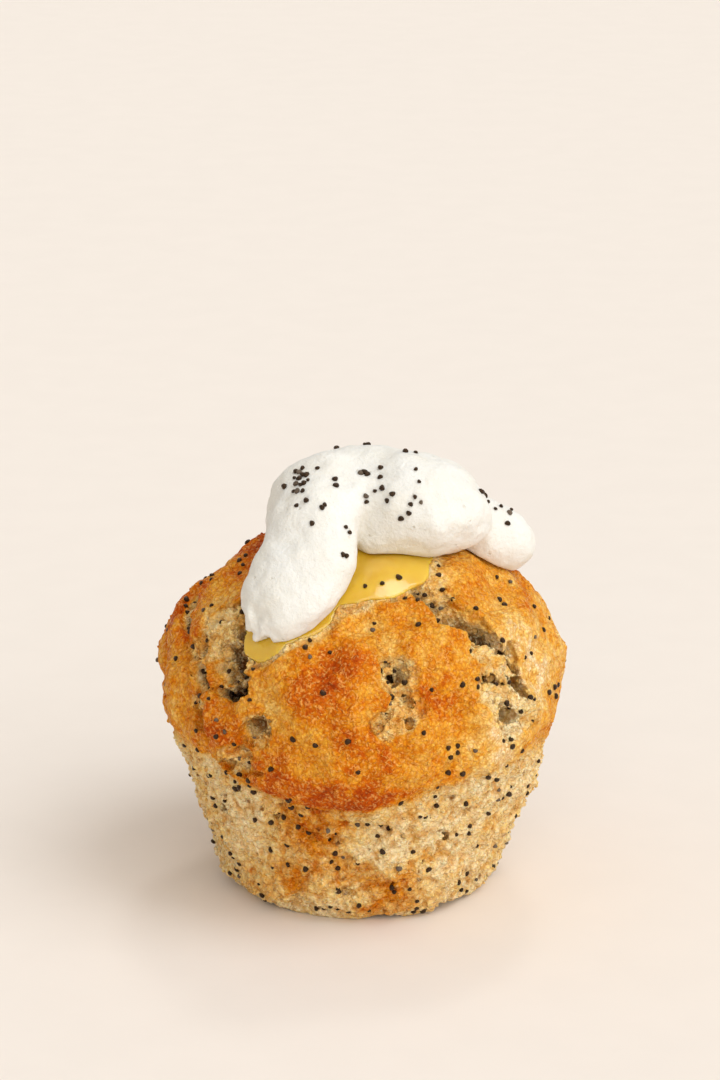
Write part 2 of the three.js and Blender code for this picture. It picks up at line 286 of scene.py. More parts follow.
@dataclass(frozen=True)
class Tear:
    """A crack or valley torn in the crust along a line on its surface, in millimetres.

    A depth less than 0 makes a shallow valley, whose floor only dips into the crust by the
    width that is left.
    """

    name: str
    line: tuple[Triple, ...]
    width: float
    depth: float

    def distance(self, points: np.ndarray, outward: Callable[[np.ndarray], np.ndarray]) -> np.ndarray:
        """Distance to the torn space, which is widest half way along and narrows as it goes in.

        Args:
            points: Places in millimetres.
            outward: Gives the way out of the crust at a place.

        Returns:
            One distance for each point, less than 0 inside, and 99 far from the tear.
        """
        line = np.array(self.line)
        out = outward(line)
        lengths = np.linalg.norm(np.diff(line, axis=0), axis=1)
        starts = np.concatenate([[0.0], np.cumsum(lengths)]) / lengths.sum()
        room = self.width + max(self.depth, 0.0) + 6.0
        close = np.all((points > line.min(axis=0) - room) & (points < line.max(axis=0) + room), axis=1)
        found = np.full(len(points), 99.0, np.float32)
        near = points[close]
        best = found[close]
        for i, length in enumerate(lengths):
            along = (line[i + 1] - line[i]) / length
            share = np.clip((near - line[i]) @ along / length, 0.0, 1.0)[:, None]
            off = near - line[i] - share * length * along
            way = unit(out[i] * (1.0 - share) + out[i + 1] * share)
            down = np.clip(-(off * way).sum(axis=1), -3.0, self.depth)
            away = np.linalg.norm(off + down[:, None] * way, axis=1)
            turn = np.clip(starts[i] + share[:, 0] * (starts[i + 1] - starts[i]), 0.0, 1.0)
            taper = 0.4 + 0.6 * np.sin(np.pi * turn) ** 0.6
            narrow = 1.0 - 0.45 * np.clip(down / max(self.depth, 1.0), 0.0, 1.0)
            best = np.minimum(best, away - self.width * taper * narrow)
        found[close] = best
        return found


@dataclass(frozen=True)
class Spot:
    """A round place on the crust: its middle, its reach in millimetres and how strong it is."""

    at: Triple
    reach: float
    amount: float

    def share(self, points: np.ndarray) -> np.ndarray:
        """The spot's amount at each point, fading to 0 at its reach."""
        away = np.linalg.norm(points - np.array(self.at), axis=1) / self.reach
        return self.amount * (1.0 - ramp(away, 0.0, 1.0))


@dataclass(frozen=True)
class Pan:
    """One round pan of the hollow: its middle on the crust, its reach and its depth in millimetres."""

    at: Triple
    reach: float
    depth: float


@dataclass(frozen=True)
class Lobe:
    """One lobe of whipped cream: middle, half sizes and which way its length points."""

    name: str
    at: Triple
    half: Triple
    along: Triple = (1.0, 0.0, 0.0)

    def axes(self) -> np.ndarray:
        """Rows that hold the lobe's length, width and thickness ways.

        Returns:
            The three unit vectors, one a row.
        """
        length = unit(np.array(self.along))
        width = unit(np.cross([0.0, 0.0, 1.0], length))
        return np.stack([length, width, np.cross(length, width)])

    def distance(self, points: np.ndarray) -> np.ndarray:
        """Distance to the lobe's surface, less than 0 inside.

        Args:
            points: Places in millimetres, one a row.

        Returns:
            One distance for each point, less than 0 inside.
        """
        local = (points - np.array(self.at)) @ self.axes().T
        half = np.array(self.half)
        near = np.linalg.norm(local / half, axis=1)
        steep = np.linalg.norm(local / half**2, axis=1)
        return near * (near - 1.0) / np.maximum(steep, 1e-6)


@dataclass
class CakeForm:
    """The baked form: a flared cup, a sagging lip and a cracked dome with a hollow in its crown."""

    foot_radius: float = 25.6
    foot_inset: float = 1.8
    foot_rounding: float = 3.0
    cup_flare: float = 0.314
    lip_z: float = 32.0
    lip_sag: float = 5.6
    lip_sag_azimuth: float = 257.0
    lip_sag_spread: float = 36.0
    lip_bulge: float = 1.2
    dome_radius: float = 37.8
    dome_waist_z: float = 39.5
    dome_rise: float = 30.4
    dome_power: float = 1.9
    swells: tuple[tuple[float, ...], ...] = (
        (0.5, 0.17, 0.11, 0.13, 0.4),
        (0.4, -0.23, 0.29, 0.19, 2.1),
        (0.3, 0.41, -0.37, 0.31, 4.4),
    )
    cup_swell: float = 0.4
    curd_below_crust: float = 0.12
    humps: tuple[Spot, ...] = (
        Spot((-6.5, -33.5, 50.0), 10.0, 1.3),
        Spot((13.0, -29.0, 54.0), 10.0, 1.1),
        Spot((-26.7, -26.7, 38.5), 7.0, 0.9),
        Spot((-2.5, -35.0, 31.0), 11.0, 0.8),
        Spot((31.0, -8.0, 54.0), 11.0, 0.9),
        Spot((-33.5, -3.0, 50.0), 9.0, 0.8),
        Spot((0.0, 33.0, 51.0), 12.0, 1.4),
        Spot((-30.0, 19.0, 50.0), 10.0, 0.9),
        Spot((31.0, 19.0, 50.0), 10.0, 0.9),
    )
    tears: tuple[Tear, ...] = (
        Tear(
            "right valley",
            (
                (11.3, -16.9, 65.5),
                (13.0, -20.6, 63.0),
                (15.8, -22.6, 60.0),
                (19.2, -22.6, 57.3),
                (22.6, -22.2, 54.6),
            ),
            3.3,
            -0.5,
        ),
        Tear("right pocket", ((14.6, -20.6, 61.8), (16.4, -21.4, 60.2)), 1.3, 1.6),
        Tear("right floor", ((17.6, -21.8, 59.0), (20.0, -21.8, 57.0), (21.4, -21.6, 56.0)), 1.9, 0.6),
        Tear("right step", ((22.6, -21.4, 54.6), (23.6, -22.6, 53.4), (25.0, -21.8, 52.4)), 0.8, 2.6),
        Tear("right cavity", ((25.6, -20.8, 52.4), (27.2, -20.9, 50.6), (27.8, -21.4, 48.8)), 2.1, 4.0),
        Tear("right slit", ((27.2, -22.4, 48.4), (28.0, -22.9, 46.2), (28.0, -23.6, 44.2)), 1.1, 3.0),
        Tear("right short slit", ((21.8, -28.0, 48.7), (23.5, -27.3, 47.7)), 0.7, 1.6),
        Tear("right pit", ((24.9, -28.2, 42.4), (26.8, -26.6, 40.8)), 1.0, 1.4),
        Tear(
            "middle valley",
            ((6.0, -32.4, 52.6), (7.0, -34.2, 49.8), (7.6, -35.6, 46.8), (8.0, -36.4, 44.0)),
            2.3,
            -0.9,
        ),
        Tear("middle top pocket", ((6.0, -32.9, 52.0), (7.6, -33.2, 51.2)), 0.8, 1.8),
        Tear("middle pocket", ((8.2, -35.0, 47.8), (8.4, -35.6, 46.6)), 0.9, 2.0),
        Tear("middle low pocket", ((8.0, -36.5, 44.0), (8.6, -36.6, 42.8)), 1.0, 1.6),
        Tear("middle low pit", ((5.0, -36.7, 45.0), (3.2, -37.0, 44.0), (1.8, -37.6, 42.0)), 1.1, 1.5),
        Tear(
            "cave",
            ((-27.7, -24.1, 46.0), (-25.7, -26.2, 45.8), (-23.3, -27.7, 46.8), (-20.7, -28.7, 48.4)),
            1.8,
            4.6,
        ),
        Tear("left hollow", ((-31.6, -17.6, 47.2), (-30.2, -20.6, 46.4), (-28.2, -23.4, 45.8)), 2.8, 0.4),
        Tear(
            "above the cave",
            ((-21.4, -24.0, 53.2), (-23.6, -24.8, 50.6), (-27.6, -22.6, 48.8)),
            3.6,
            -0.9,
        ),
        Tear("tip groove", ((-20.2, -20.5, 58.4), (-21.6, -22.2, 55.5), (-21.6, -24.6, 52.6)), 1.5, 3.2),
        Tear("pit above the groove", ((-20.8, -16.8, 60.6), (-22.2, -18.2, 58.6)), 0.9, 1.6),
        Tear(
            "left fold",
            (
                (-30.2, 2.6, 56.5),
                (-32.2, -6.5, 53.0),
                (-32.6, -11.5, 50.4),
                (-33.0, -14.4, 47.7),
                (-32.7, -17.4, 44.4),
            ),
            1.7,
            0.1,
        ),
        Tear(
            "left foot of cave",
            ((-32.0, -19.8, 42.6), (-30.6, -22.6, 40.0), (-28.6, -25.0, 36.4)),
            1.9,
            -0.4,
        ),
        Tear(
            "hump fold",
            ((-16.9, -33.6, 43.4), (-19.1, -32.5, 41.1), (-20.6, -31.7, 38.5), (-22.1, -29.9, 35.6)),
            2.0,
            0.3,
        ),
        Tear("hump fold slit", ((-16.5, -33.8, 43.6), (-18.4, -33.0, 42.4)), 1.0, 2.4),
        Tear(
            "low seam",
            ((-27.9, -22.2, 31.4), (-24.1, -27.0, 32.4), (-21.4, -29.2, 32.6), (-18.5, -31.4, 33.2)),
            1.6,
            -0.5,
        ),
        Tear("cup recess", ((-25.9, -21.1, 25.1), (-25.1, -20.7, 22.4), (-25.7, -17.7, 17.9)), 1.5, 0.6),
        Tear("cup pit", ((-16.8, -27.7, 21.8), (-15.6, -28.2, 21.0)), 0.9, 1.0),
        Tear("cup middle pit", ((-6.0, -30.3, 17.4), (-4.2, -30.7, 16.6)), 0.8, 1.0),
        Tear("cup right pit", ((4.2, -32.0, 22.6), (4.9, -31.7, 20.6)), 1.1, 1.1),
        Tear("cup far pit", ((14.8, -27.9, 19.6), (15.7, -27.0, 17.2)), 1.2, 1.1),
        Tear("back right split", ((10, 20, 62), (17, 25, 56), (19, 30, 48), (24, 29, 42)), 2.2, 2.6),
        Tear("back left split", ((-15, 18, 62), (-22, 21, 57), (-25, 27, 49), (-34, 17, 42)), 2.2, 2.6),
        Tear("back valley", ((-6, 27, 60), (-2, 33, 53), (-6, 37, 44)), 3.0, -1.0),
        Tear("right side tear", ((35, 8, 48), (34, 15, 46), (36, 12, 39)), 1.6, 2.2),
        Tear("left side tear", ((-31, 16, 52), (-35, 12, 46), (-37, 6, 41)), 1.6, 1.6),
    )
    pans: tuple[Pan, ...] = (
        Pan((-2.0, -10.0, 68.0), 16.2, 7.5),
        Pan((-12.5, -21.5, 60.7), 8.6, 6.5),
        Pan((-16.8, -25.0, 55.6), 4.9, 5.0),
    )
    crumb_zones: tuple[Spot, ...] = (
        Spot((-26.0, -18.5, 54.0), 10.0, 1.0),
        Spot((-29.5, -16.0, 50.0), 5.5, 1.0),
        Spot((-23.0, -25.0, 51.0), 7.0, 1.0),
        Spot((24.5, -27.0, 46.0), 9.0, 1.0),
        Spot((28.0, -24.0, 41.0), 9.0, 1.0),
        Spot((21.0, -24.0, 54.0), 6.5, 1.0),
        Spot((13.5, -19.5, 62.5), 6.5, 1.0),
        Spot((6.4, -33.0, 51.0), 6.0, 1.0),
        Spot((7.8, -36.0, 45.6), 6.2, 1.0),
        Spot((3.5, -37.0, 43.0), 4.5, 1.0),
        Spot((-19.5, -32.0, 40.0), 5.0, 1.0),
        Spot((-23.0, -28.5, 33.5), 6.0, 0.9),
        Spot((-29.5, -22.0, 41.0), 5.0, 1.0),
        Spot((18.0, 27.0, 52.0), 8.0, 1.0),
        Spot((-23.0, 24.0, 52.0), 8.0, 1.0),
        Spot((-4.0, 32.0, 54.0), 7.0, 1.0),
    )
    lump_rise: float = 0.7
    lump_size: float = 6.0
    foot_crumble: float = 1.7
    pore_size: float = 3.3
    pore_share: float = 0.6
    grain: Grain = field(default_factory=lambda: Grain(7))

    def sag(self, azimuth: np.ndarray) -> np.ndarray:
        """How much the lip sags at each azimuth in degrees, from 0 to 1."""
        return np.exp(-(((azimuth - self.lip_sag_azimuth) / self.lip_sag_spread) ** 2))

    def lip_height(self, azimuth: np.ndarray) -> np.ndarray:
        """Height of the lip's underside at each azimuth.

        Args:
            azimuth: Turns about the upright axis in degrees.

        Returns:
            One height for each azimuth, in millimetres.
        """
        turn = np.radians(azimuth)
        level = self.lip_z - self.lip_sag * self.sag(azimuth)
        return level + 0.7 * np.sin(2 * turn + 0.6) + 0.4 * np.sin(5 * turn)

    def outline_radius(self, z: np.ndarray, azimuth: np.ndarray) -> np.ndarray:
        """Radius of cup, lip and dome's foot at each height and azimuth.

        Args:
            z: Heights in millimetres.
            azimuth: Turns about the upright axis in degrees.

        Returns:
            One radius for each height and azimuth.
        """
        worn = np.maximum(0.0, 1.0 - np.maximum(z, 0.0) / self.foot_rounding)
        cup = self.foot_radius + self.cup_flare * z - self.foot_inset * worn**1.5
        lip = self.lip_height(azimuth)
        up = np.clip((z - lip) / (self.dome_waist_z - lip), 0.0, 1.0)
        bulge = self.lip_bulge * (0.15 + self.sag(azimuth)) * np.sin(np.pi * up**0.36)
        return cup * (1.0 - up) + self.dome_radius * up + bulge

    def plain(self, points: np.ndarray) -> np.ndarray:
        """Distance to the plain outline, with no cracks or unevenness.

        Args:
            points: Places in millimetres, one a row.

        Returns:
            One distance for each point, less than 0 inside.
        """
        x, y, z = points.T
        radius = np.hypot(x, y)
        azimuth = np.degrees(np.arctan2(y, x)) % 360.0
        side = (radius - self.outline_radius(np.minimum(z, self.dome_waist_z), azimuth)) * 0.954
        power = self.dome_power
        wide = radius / self.dome_radius
        tall = np.maximum(z - self.dome_waist_z, 0.0) / self.dome_rise
        total = np.maximum(wide**power + tall**power, 1e-4)
        steep = total ** (1.0 / power - 1.0) * np.hypot(
            wide ** (power - 1.0) / self.dome_radius, tall ** (power - 1.0) / self.dome_rise
        )
        dome = (total ** (1.0 / power) - 1.0) / np.maximum(steep, 1e-6)
        return np.maximum(np.where(z >= self.dome_waist_z, dome, side), -z)

    def outward(self, points: np.ndarray) -> np.ndarray:
        """The way out of the plain outline at each point.

        Args:
            points: Places in millimetres, one a row.

        Returns:
            One unit vector for each point.
        """
        points = np.atleast_2d(np.asarray(points, float))
        ways = []
        for axis in range(3):
            step = np.zeros(3)
            step[axis] = 0.05
            ways.append(self.plain(points + step) - self.plain(points - step))
        return unit(np.stack(ways, axis=1))

    def uneven(self, points: np.ndarray) -> np.ndarray:
        """How far the crust stands out of the plain outline, from its humps and swells.

        Args:
            points: Places in millimetres, one a row.

        Returns:
            One value for each point.
        """
        total = sum(hump.share(points) for hump in self.humps)
        even = self.cup_swell + (1.0 - self.cup_swell) * ramp(points[:, 2], 28.0, 42.0)
        for size, x, y, z, phase in self.swells:
            total = total + even * size * np.sin(points @ np.array([x, y, z]) + phase)
        return total * ramp(points[:, 2], 0.0, 3.0)

    def crust(self, points: np.ndarray) -> np.ndarray:
        """Distance to the whole crust before it tore and before the hollow was made."""
        return self.plain(points) - self.uneven(points)

    def hollow(self, points: np.ndarray) -> np.ndarray:
        """Distance to the space of the hollow, with its crumbly edge.

        Args:
            points: Places in millimetres, one a row.

        Returns:
            One distance for each point, less than 0 inside.
        """
        found = None
        for pan in self.pans:
            out = self.outward(np.array([pan.at]))[0]
            from_middle = points - np.array(pan.at)
            up = from_middle @ out
            flat = np.linalg.norm(from_middle - up[:, None] * out, axis=1)
            near = np.hypot(flat / pan.reach, up / pan.depth)
            steep = np.hypot(flat / pan.reach**2, up / pan.depth**2)
            one = near * (near - 1.0) / np.maximum(steep, 1e-6)
            found = one if found is None else blend_union(found, one, 3.0)
        edge = np.abs(found) < 4.0
        found[edge] += 0.45 * self.grain.soft(points[edge], 3.4) + 0.22 * self.grain.soft(points[edge], 1.5)
        return found

    def torn(self, points: np.ndarray) -> np.ndarray:
        """Distance to the torn cracks, with ragged walls.

        Args:
            points: Places in millimetres, one a row.

        Returns:
            One distance for each point, less than 0 inside.
        """
        found = np.full(len(points), 99.0, np.float32)
        for tear in self.tears:
            found = np.minimum(found, tear.distance(points, self.outward))
        close = found < 4.0
        near = points[close]
        wide = [self.grain.soft(near + 20.0 * i, 4.0) for i in (1, 2, 3)]
        fine = [0.55 * self.grain.soft(near - 20.0 * i, 1.7) for i in (1, 2, 3)]
        moved = near + np.stack([a + b for a, b in zip(wide, fine)], axis=1)
        ragged = np.full(len(near), 99.0, np.float32)
        for tear in self.tears:
            ragged = np.minimum(ragged, tear.distance(moved, self.outward))
        found[close] = ragged + 0.2 * self.grain.soft(near, 1.1)
        return found

    def lumps(self, points: np.ndarray) -> np.ndarray:
        """How far the rough crust stands out at each point, and how the foot's edge crumbled.

        Args:
            points: Places in millimetres, one a row.

        Returns:
            One value for each point.
        """
        rise = self.lump_rise * self.grain.layered(points, self.lump_size, 2)
        low = 1.0 - ramp(points[:, 2], 0.0, 3.5)
        foot = self.foot_crumble * np.maximum(self.grain.soft(points + 40.0, 5.0), 0.0) * low
        return rise * ramp(points[:, 2], 0.0, 2.0) - foot

    def crumb_share(self, points: np.ndarray) -> np.ndarray:
        """1 on torn crumb and on the cup, 0 on the crust of the dome.

        Args:
            points: Places in millimetres, one a row.

        Returns:
            One value for each point.
        """
        azimuth = np.degrees(np.arctan2(points[:, 1], points[:, 0])) % 360.0
        front = self.sag(azimuth)
        above = points[:, 2] - self.lip_height(azimuth) + 2.2 * (1.0 - front) * self.grain.soft(points, 6.0)
        spread = 4.5 - 3.7 * front
        cup = 1.0 - ramp(above / spread, -1.0, 1.0)
        deep = 1.0 - ramp(self.crust(points), -2.4, -1.1)
        return np.maximum(np.maximum(cup, deep), self.bared(points))

    def bared(self, points: np.ndarray) -> np.ndarray:
        """1 where the skin of the dome has come off its crumb, and along the rim of the hollow.

        Args:
            points: Places in millimetres, one a row.

        Returns:
            One value for each point.
        """
        zones = np.zeros(len(points))
        for zone in self.crumb_zones:
            zones = np.maximum(zones, zone.share(points))
        frayed = zones + 0.2 * self.grain.soft(points, 3.0) + 0.1 * self.grain.soft(points, 1.4)
        zones = ramp(frayed, 0.28, 0.44)
        rim = 1.0 - ramp(self.hollow(points) + 0.9 * self.grain.soft(points, 3.6), 0.7, 2.4)
        return np.maximum(zones, rim)

    def pores(self, points: np.ndarray) -> np.ndarray:
        """Distance to the open pores of the crumb.

        Args:
            points: Places in millimetres, one a row.

        Returns:
            One distance for each point, less than 0 inside.
        """
        near, mark = self.grain.cells(points, self.pore_size)
        wide = 0.26 * ramp(mark, 1.0 - self.pore_share, 1.0) * self.crumb_share(points)
        found = (near - wide) * self.pore_size + 0.45 * self.grain.soft(points, 1.3)
        return np.where(wide > 0.04, found, 9.0)

    def distance(self, points: np.ndarray) -> np.ndarray:
        """Distance to the whole cake, cracks and hollow included.

        Args:
            points: Places in millimetres, one a row.

        Returns:
            One distance for each point, less than 0 inside.
        """
        body = self.crust(points)
        skin = np.abs(body) < 3.0
        body[skin] -= self.lumps(points[skin]) * ramp(self.hollow(points[skin]), -0.5, 2.0)
        body = blend_cut(body, self.torn(points), 0.4)
        body = blend_cut(body, self.hollow(points), 0.2)
        skin = np.abs(body) < 1.6
        body[skin] = blend_cut(body[skin], self.pores(points[skin]), 0.35)
        return np.maximum(body, -points[:, 2])

    def curd(self, points: np.ndarray) -> np.ndarray:
        """Distance to the curd: the hollow filled to just below the crust, and a little up its wall.

        Args:
            points: Places in millimetres, one a row.

        Returns:
            One distance for each point, less than 0 inside.
        """
        wall = self.hollow(points) - 0.08
        climb = 0.12 * np.exp(np.minimum(wall, 0.0) / 0.8)
        ripple = 0.12 * self.grain.soft(points, 6.0)
        top = self.crust(points) + self.curd_below_crust - climb + ripple
        return -blend_union(-wall, -top, 0.2)


@dataclass
class CreamForm:
    """The spoonful of cream: soft lobes that run together and rest on the cake and the curd."""

    cake: CakeForm
    gap: float = 0.15
    left: tuple[Lobe, ...] = (
        Lobe("bulb", (-10.7, -20.4, 67.2), (13.2, 9.4, 6.4), (-0.36, -0.64, -0.68)),
        Lobe("tip", (-15.4, -24.6, 61.4), (6.2, 6.0, 3.6), (-0.3, -0.6, -0.74)),
        Lobe("left hem", (-17.6, -21.8, 60.2), (3.4, 3.2, 3.6)),
        Lobe("low hem", (-17.0, -25.6, 58.0), (3.0, 3.0, 2.8)),
        Lobe("neck of the bulb", (-7.6, -12.0, 74.2), (7.2, 7.6, 7.2)),
        Lobe("left flank", (-12.8, -11.0, 72.4), (4.4, 5.0, 5.0)),
        Lobe("shoulder", (-6.5, -5.0, 76.3), (9.9, 9.0, 8.4)),
        Lobe("behind", (-10.0, -3.0, 71.0), (6.4, 8.0, 7.0)),
    )
    right: tuple[Lobe, ...] = (
        Lobe("front lobe", (9.8, -5.0, 74.7), (12.8, 12.0, 9.9), (1.0, 0.0, -0.16)),
        Lobe("point", (18.6, -5.0, 72.8), (5.0, 5.0, 4.4), (1.0, 0.0, -0.4)),
        Lobe("foot of the front lobe", (3.4, -9.0, 71.0), (5.8, 5.6, 5.2)),
    )
    behind: tuple[Lobe, ...] = (
        Lobe("top sheet", (2.0, -1.0, 77.0), (12.0, 8.6, 7.7)),
        Lobe("back", (1.0, 7.0, 73.0), (15.0, 9.0, 8.5)),
        Lobe("neck of the ball", (22.5, 2.5, 69.0), (5.0, 5.0, 4.6)),
        Lobe("ball", (24.2, 3.4, 66.0), (8.6, 7.2, 6.2), (0.9, 0.0, -0.3)),
    )
    tip_end: Triple = (-19.0, -26.0, 57.0)
    grain: Grain = field(default_factory=lambda: Grain(11))

    @staticmethod
    def together(lobes: Sequence[Lobe], points: np.ndarray, soft: float) -> np.ndarray:
        """Distance to lobes that run together with a fillet of soft millimetres.

        Args:
            lobes: The lobes.
            points: Places in millimetres, one a row.
            soft: Width of the fillet.

        Returns:
            One distance for each point, less than 0 inside.
        """
        found = lobes[0].distance(points)
        for lobe in lobes[1:]:
            found = blend_union(found, lobe.distance(points), soft)
        return found

    def lobed(self, points: np.ndarray) -> np.ndarray:
        """Distance to the lobes: two soft groups with a crease between, on what lies behind.

        Args:
            points: Places in millimetres, one a row.

        Returns:
            One distance for each point, less than 0 inside.
        """
        left = self.together(self.left, points, 4.0)
        right = self.together(self.right, points, 3.5)
        crease = 0.9 + 4.0 * ramp(points[:, 2], 73.0, 79.0)
        front = blend_union(left, right, crease)
        return blend_union(front, self.together(self.behind, points, 2.2), 1.8)

    def distance(self, points: np.ndarray) -> np.ndarray:
        """Distance to the cream where it lies, with its soft unevenness and its torn tip.

        Args:
            points: Places in millimetres, one a row.

        Returns:
            One distance for each point, less than 0 inside.
        """
        body = self.lobed(points)
        body = body + 0.38 * self.grain.soft(points, 5.0) + 0.16 * self.grain.soft(points, 2.4)
        body = body + 0.09 * self.grain.soft(points, 1.2)
        from_tip = np.linalg.norm(points - np.array(self.tip_end), axis=1)
        torn = 0.7 + 1.1 * self.grain.soft(points, 2.3) + 0.6 * self.grain.soft(points, 1.2)
        body = body + (1.0 - ramp(from_tip, 2.5, 7.5)) * torn
        below = np.minimum(
            blend_cut(self.cake.crust(points), self.cake.hollow(points), 0.5), self.cake.curd(points)
        )
        return blend_cut(body, below - self.gap, 0.6)


# Meshes


def mesh_of(name: str, points: np.ndarray, faces: np.ndarray) -> bpy.types.Mesh:
    """A mesh in metres from points in millimetres and faces that all have the same number of corners.

    Args:
        name: Name of the mesh.
        points: Its points, one a row.
        faces: Its faces, each a row of point numbers.

    Returns:
        The mesh, smooth shaded.
    """
    mesh = bpy.data.meshes.new(name)
    count, corners = faces.shape
    mesh.vertices.add(len(points))
    mesh.vertices.foreach_set("co", (points * MM).astype(np.float32).ravel())
    mesh.loops.add(count * corners)
    mesh.loops.foreach_set("vertex_index", faces.astype(np.int32).ravel())
    mesh.polygons.add(count)
    mesh.polygons.foreach_set("loop_start", np.arange(0, count * corners, corners, dtype=np.int32))
    mesh.update(calc_edges=True)
    mesh.validate()
    mesh.polygons.foreach_set("use_smooth", np.ones(len(mesh.polygons), bool))
    return mesh


def object_of(name: str, mesh: bpy.types.Mesh) -> bpy.types.Object:
    """A new object at the origin that shows a mesh.

    Args:
        name: Name of the object.
        mesh: The mesh.

    Returns:
        The object.
    """
    piece = bpy.data.objects.new(name, mesh)
    bpy.context.scene.collection.objects.link(piece)
    return piece


def points_of(mesh: bpy.types.Mesh) -> np.ndarray:
    """A mesh's points in millimetres.

    Args:
        mesh: The mesh.

    Returns:
        The points, one a row.
    """
    flat = np.zeros(len(mesh.vertices) * 3, np.float32)
    mesh.vertices.foreach_get("co", flat)
    return flat.reshape(-1, 3) / MM


def normals_of(mesh: bpy.types.Mesh) -> np.ndarray:
    """The way out at each of a mesh's points.

    Args:
        mesh: The mesh.

    Returns:
        One unit vector for each point.
    """
    flat = np.zeros(len(mesh.vertices) * 3, np.float32)
    mesh.vertex_normals.foreach_get("vector", flat)
    return flat.reshape(-1, 3)


def move_points(mesh: bpy.types.Mesh, points: np.ndarray) -> None:
    """Puts a mesh's points at new places, given in millimetres."""
    mesh.vertices.foreach_set("co", (points * MM).astype(np.float32).ravel())
    mesh.update()


def store(mesh: bpy.types.Mesh, name: str, values: np.ndarray) -> None:
    """Keeps one number, or one vector, for each of a mesh's points under a name.

    Args:
        mesh: The mesh.
        name: Name to keep them under.
        values: The numbers, or the vectors one a row.
    """
    kind = "FLOAT_VECTOR" if values.ndim == 2 else "FLOAT"
    attribute = mesh.attributes.get(name) or mesh.attributes.new(name, kind, "POINT")
    key = "vector" if values.ndim == 2 else "value"
    attribute.data.foreach_set(key, values.astype(np.float32).ravel())


def thinned(piece: bpy.types.Object, triangles: int) -> None:
    """Thins a piece's mesh to about so many triangles, most where it is smooth.

    Args:
        piece: The piece to thin.
        triangles: How many triangles to keep.
    """
    now = sum(len(face.vertices) - 2 for face in piece.data.polygons)
    if now <= triangles:
        return
    thin = piece.modifiers.new("thin", "DECIMATE")
    thin.ratio = triangles / now
    as_mesh(piece)


def as_mesh(piece: bpy.types.Object) -> None:
    """Replaces a piece's mesh by what its modifiers make of it, and removes them.

    Args:
        piece: The piece.
    """
    graph = bpy.context.evaluated_depsgraph_get()
    made = bpy.data.meshes.new_from_object(piece.evaluated_get(graph), depsgraph=graph)
    piece.modifiers.clear()
    old = piece.data
    made.name = old.name
    piece.data = made
    bpy.data.meshes.remove(old)


# Finishes


def linear(code: str) -> tuple[float, float, float, float]:
    """A web colour such as "#f3eae0" as the linear colour that shaders take."""
    parts = [int(code[i : i + 2], 16) / 255.0 for i in (1, 3, 5)]
    return (*(p / 12.92 if p <= 0.04045 else ((p + 0.055) / 1.055) ** 2.4 for p in parts), 1.0)


def per_mm(size: float) -> float:
    """Scale of a pattern on coordinates in metres whose cells are so many millimetres."""
    return 1.0 / (size * MM)


class NodeSheet:
    """A node tree while it is being built."""

    tree: bpy.types.NodeTree

    def add(self, kind: str, *values: object, **named: object) -> bpy.types.Node:
        """Adds a node, sets its options and links its inputs.

        Args:
            kind: Blender's name for the node. A shader node's may leave out its first part.
            *values: Values, sockets or nodes for its inputs in order, where a node stands for
                its first output.
            **named: Options of the node in small letters, and other inputs by their names,
                with _ for a space.

        Returns:
            The new node.
        """
        node = self.tree.nodes.new(kind if "Node" in kind else f"ShaderNode{kind}")
        for name in filter(str.islower, named):
            setattr(node, name, named[name])
        pairs = list(zip([socket for socket in node.inputs if socket.enabled], values))
        pairs += [(node.inputs[n.replace("_", " ")], v) for n, v in named.items() if not n.islower()]
        for socket, value in pairs:
            self.feed(socket, value)
        return node

    def feed(self, socket: bpy.types.NodeSocket, value: object) -> None:
        """Sets an input, or links it.

        Args:
            socket: The input.
            value: A value, a socket, or a node that stands for its first output.
        """
        if isinstance(value, bpy.types.Node):
            value = next(output for output in value.outputs if output.enabled)
        if isinstance(value, bpy.types.NodeSocket):
            self.tree.links.new(value, socket)
        else:
            socket.default_value = value

    def product(self, *values: object) -> object:
        """All the values, sockets or nodes multiplied together."""
        return reduce(lambda one, two: self.add("Math", one, two, operation="MULTIPLY"), values)

    def total(self, *values: object) -> object:
        """All the values, sockets or nodes added together."""
        return reduce(lambda one, two: self.add("Math", one, two, operation="ADD"), values)


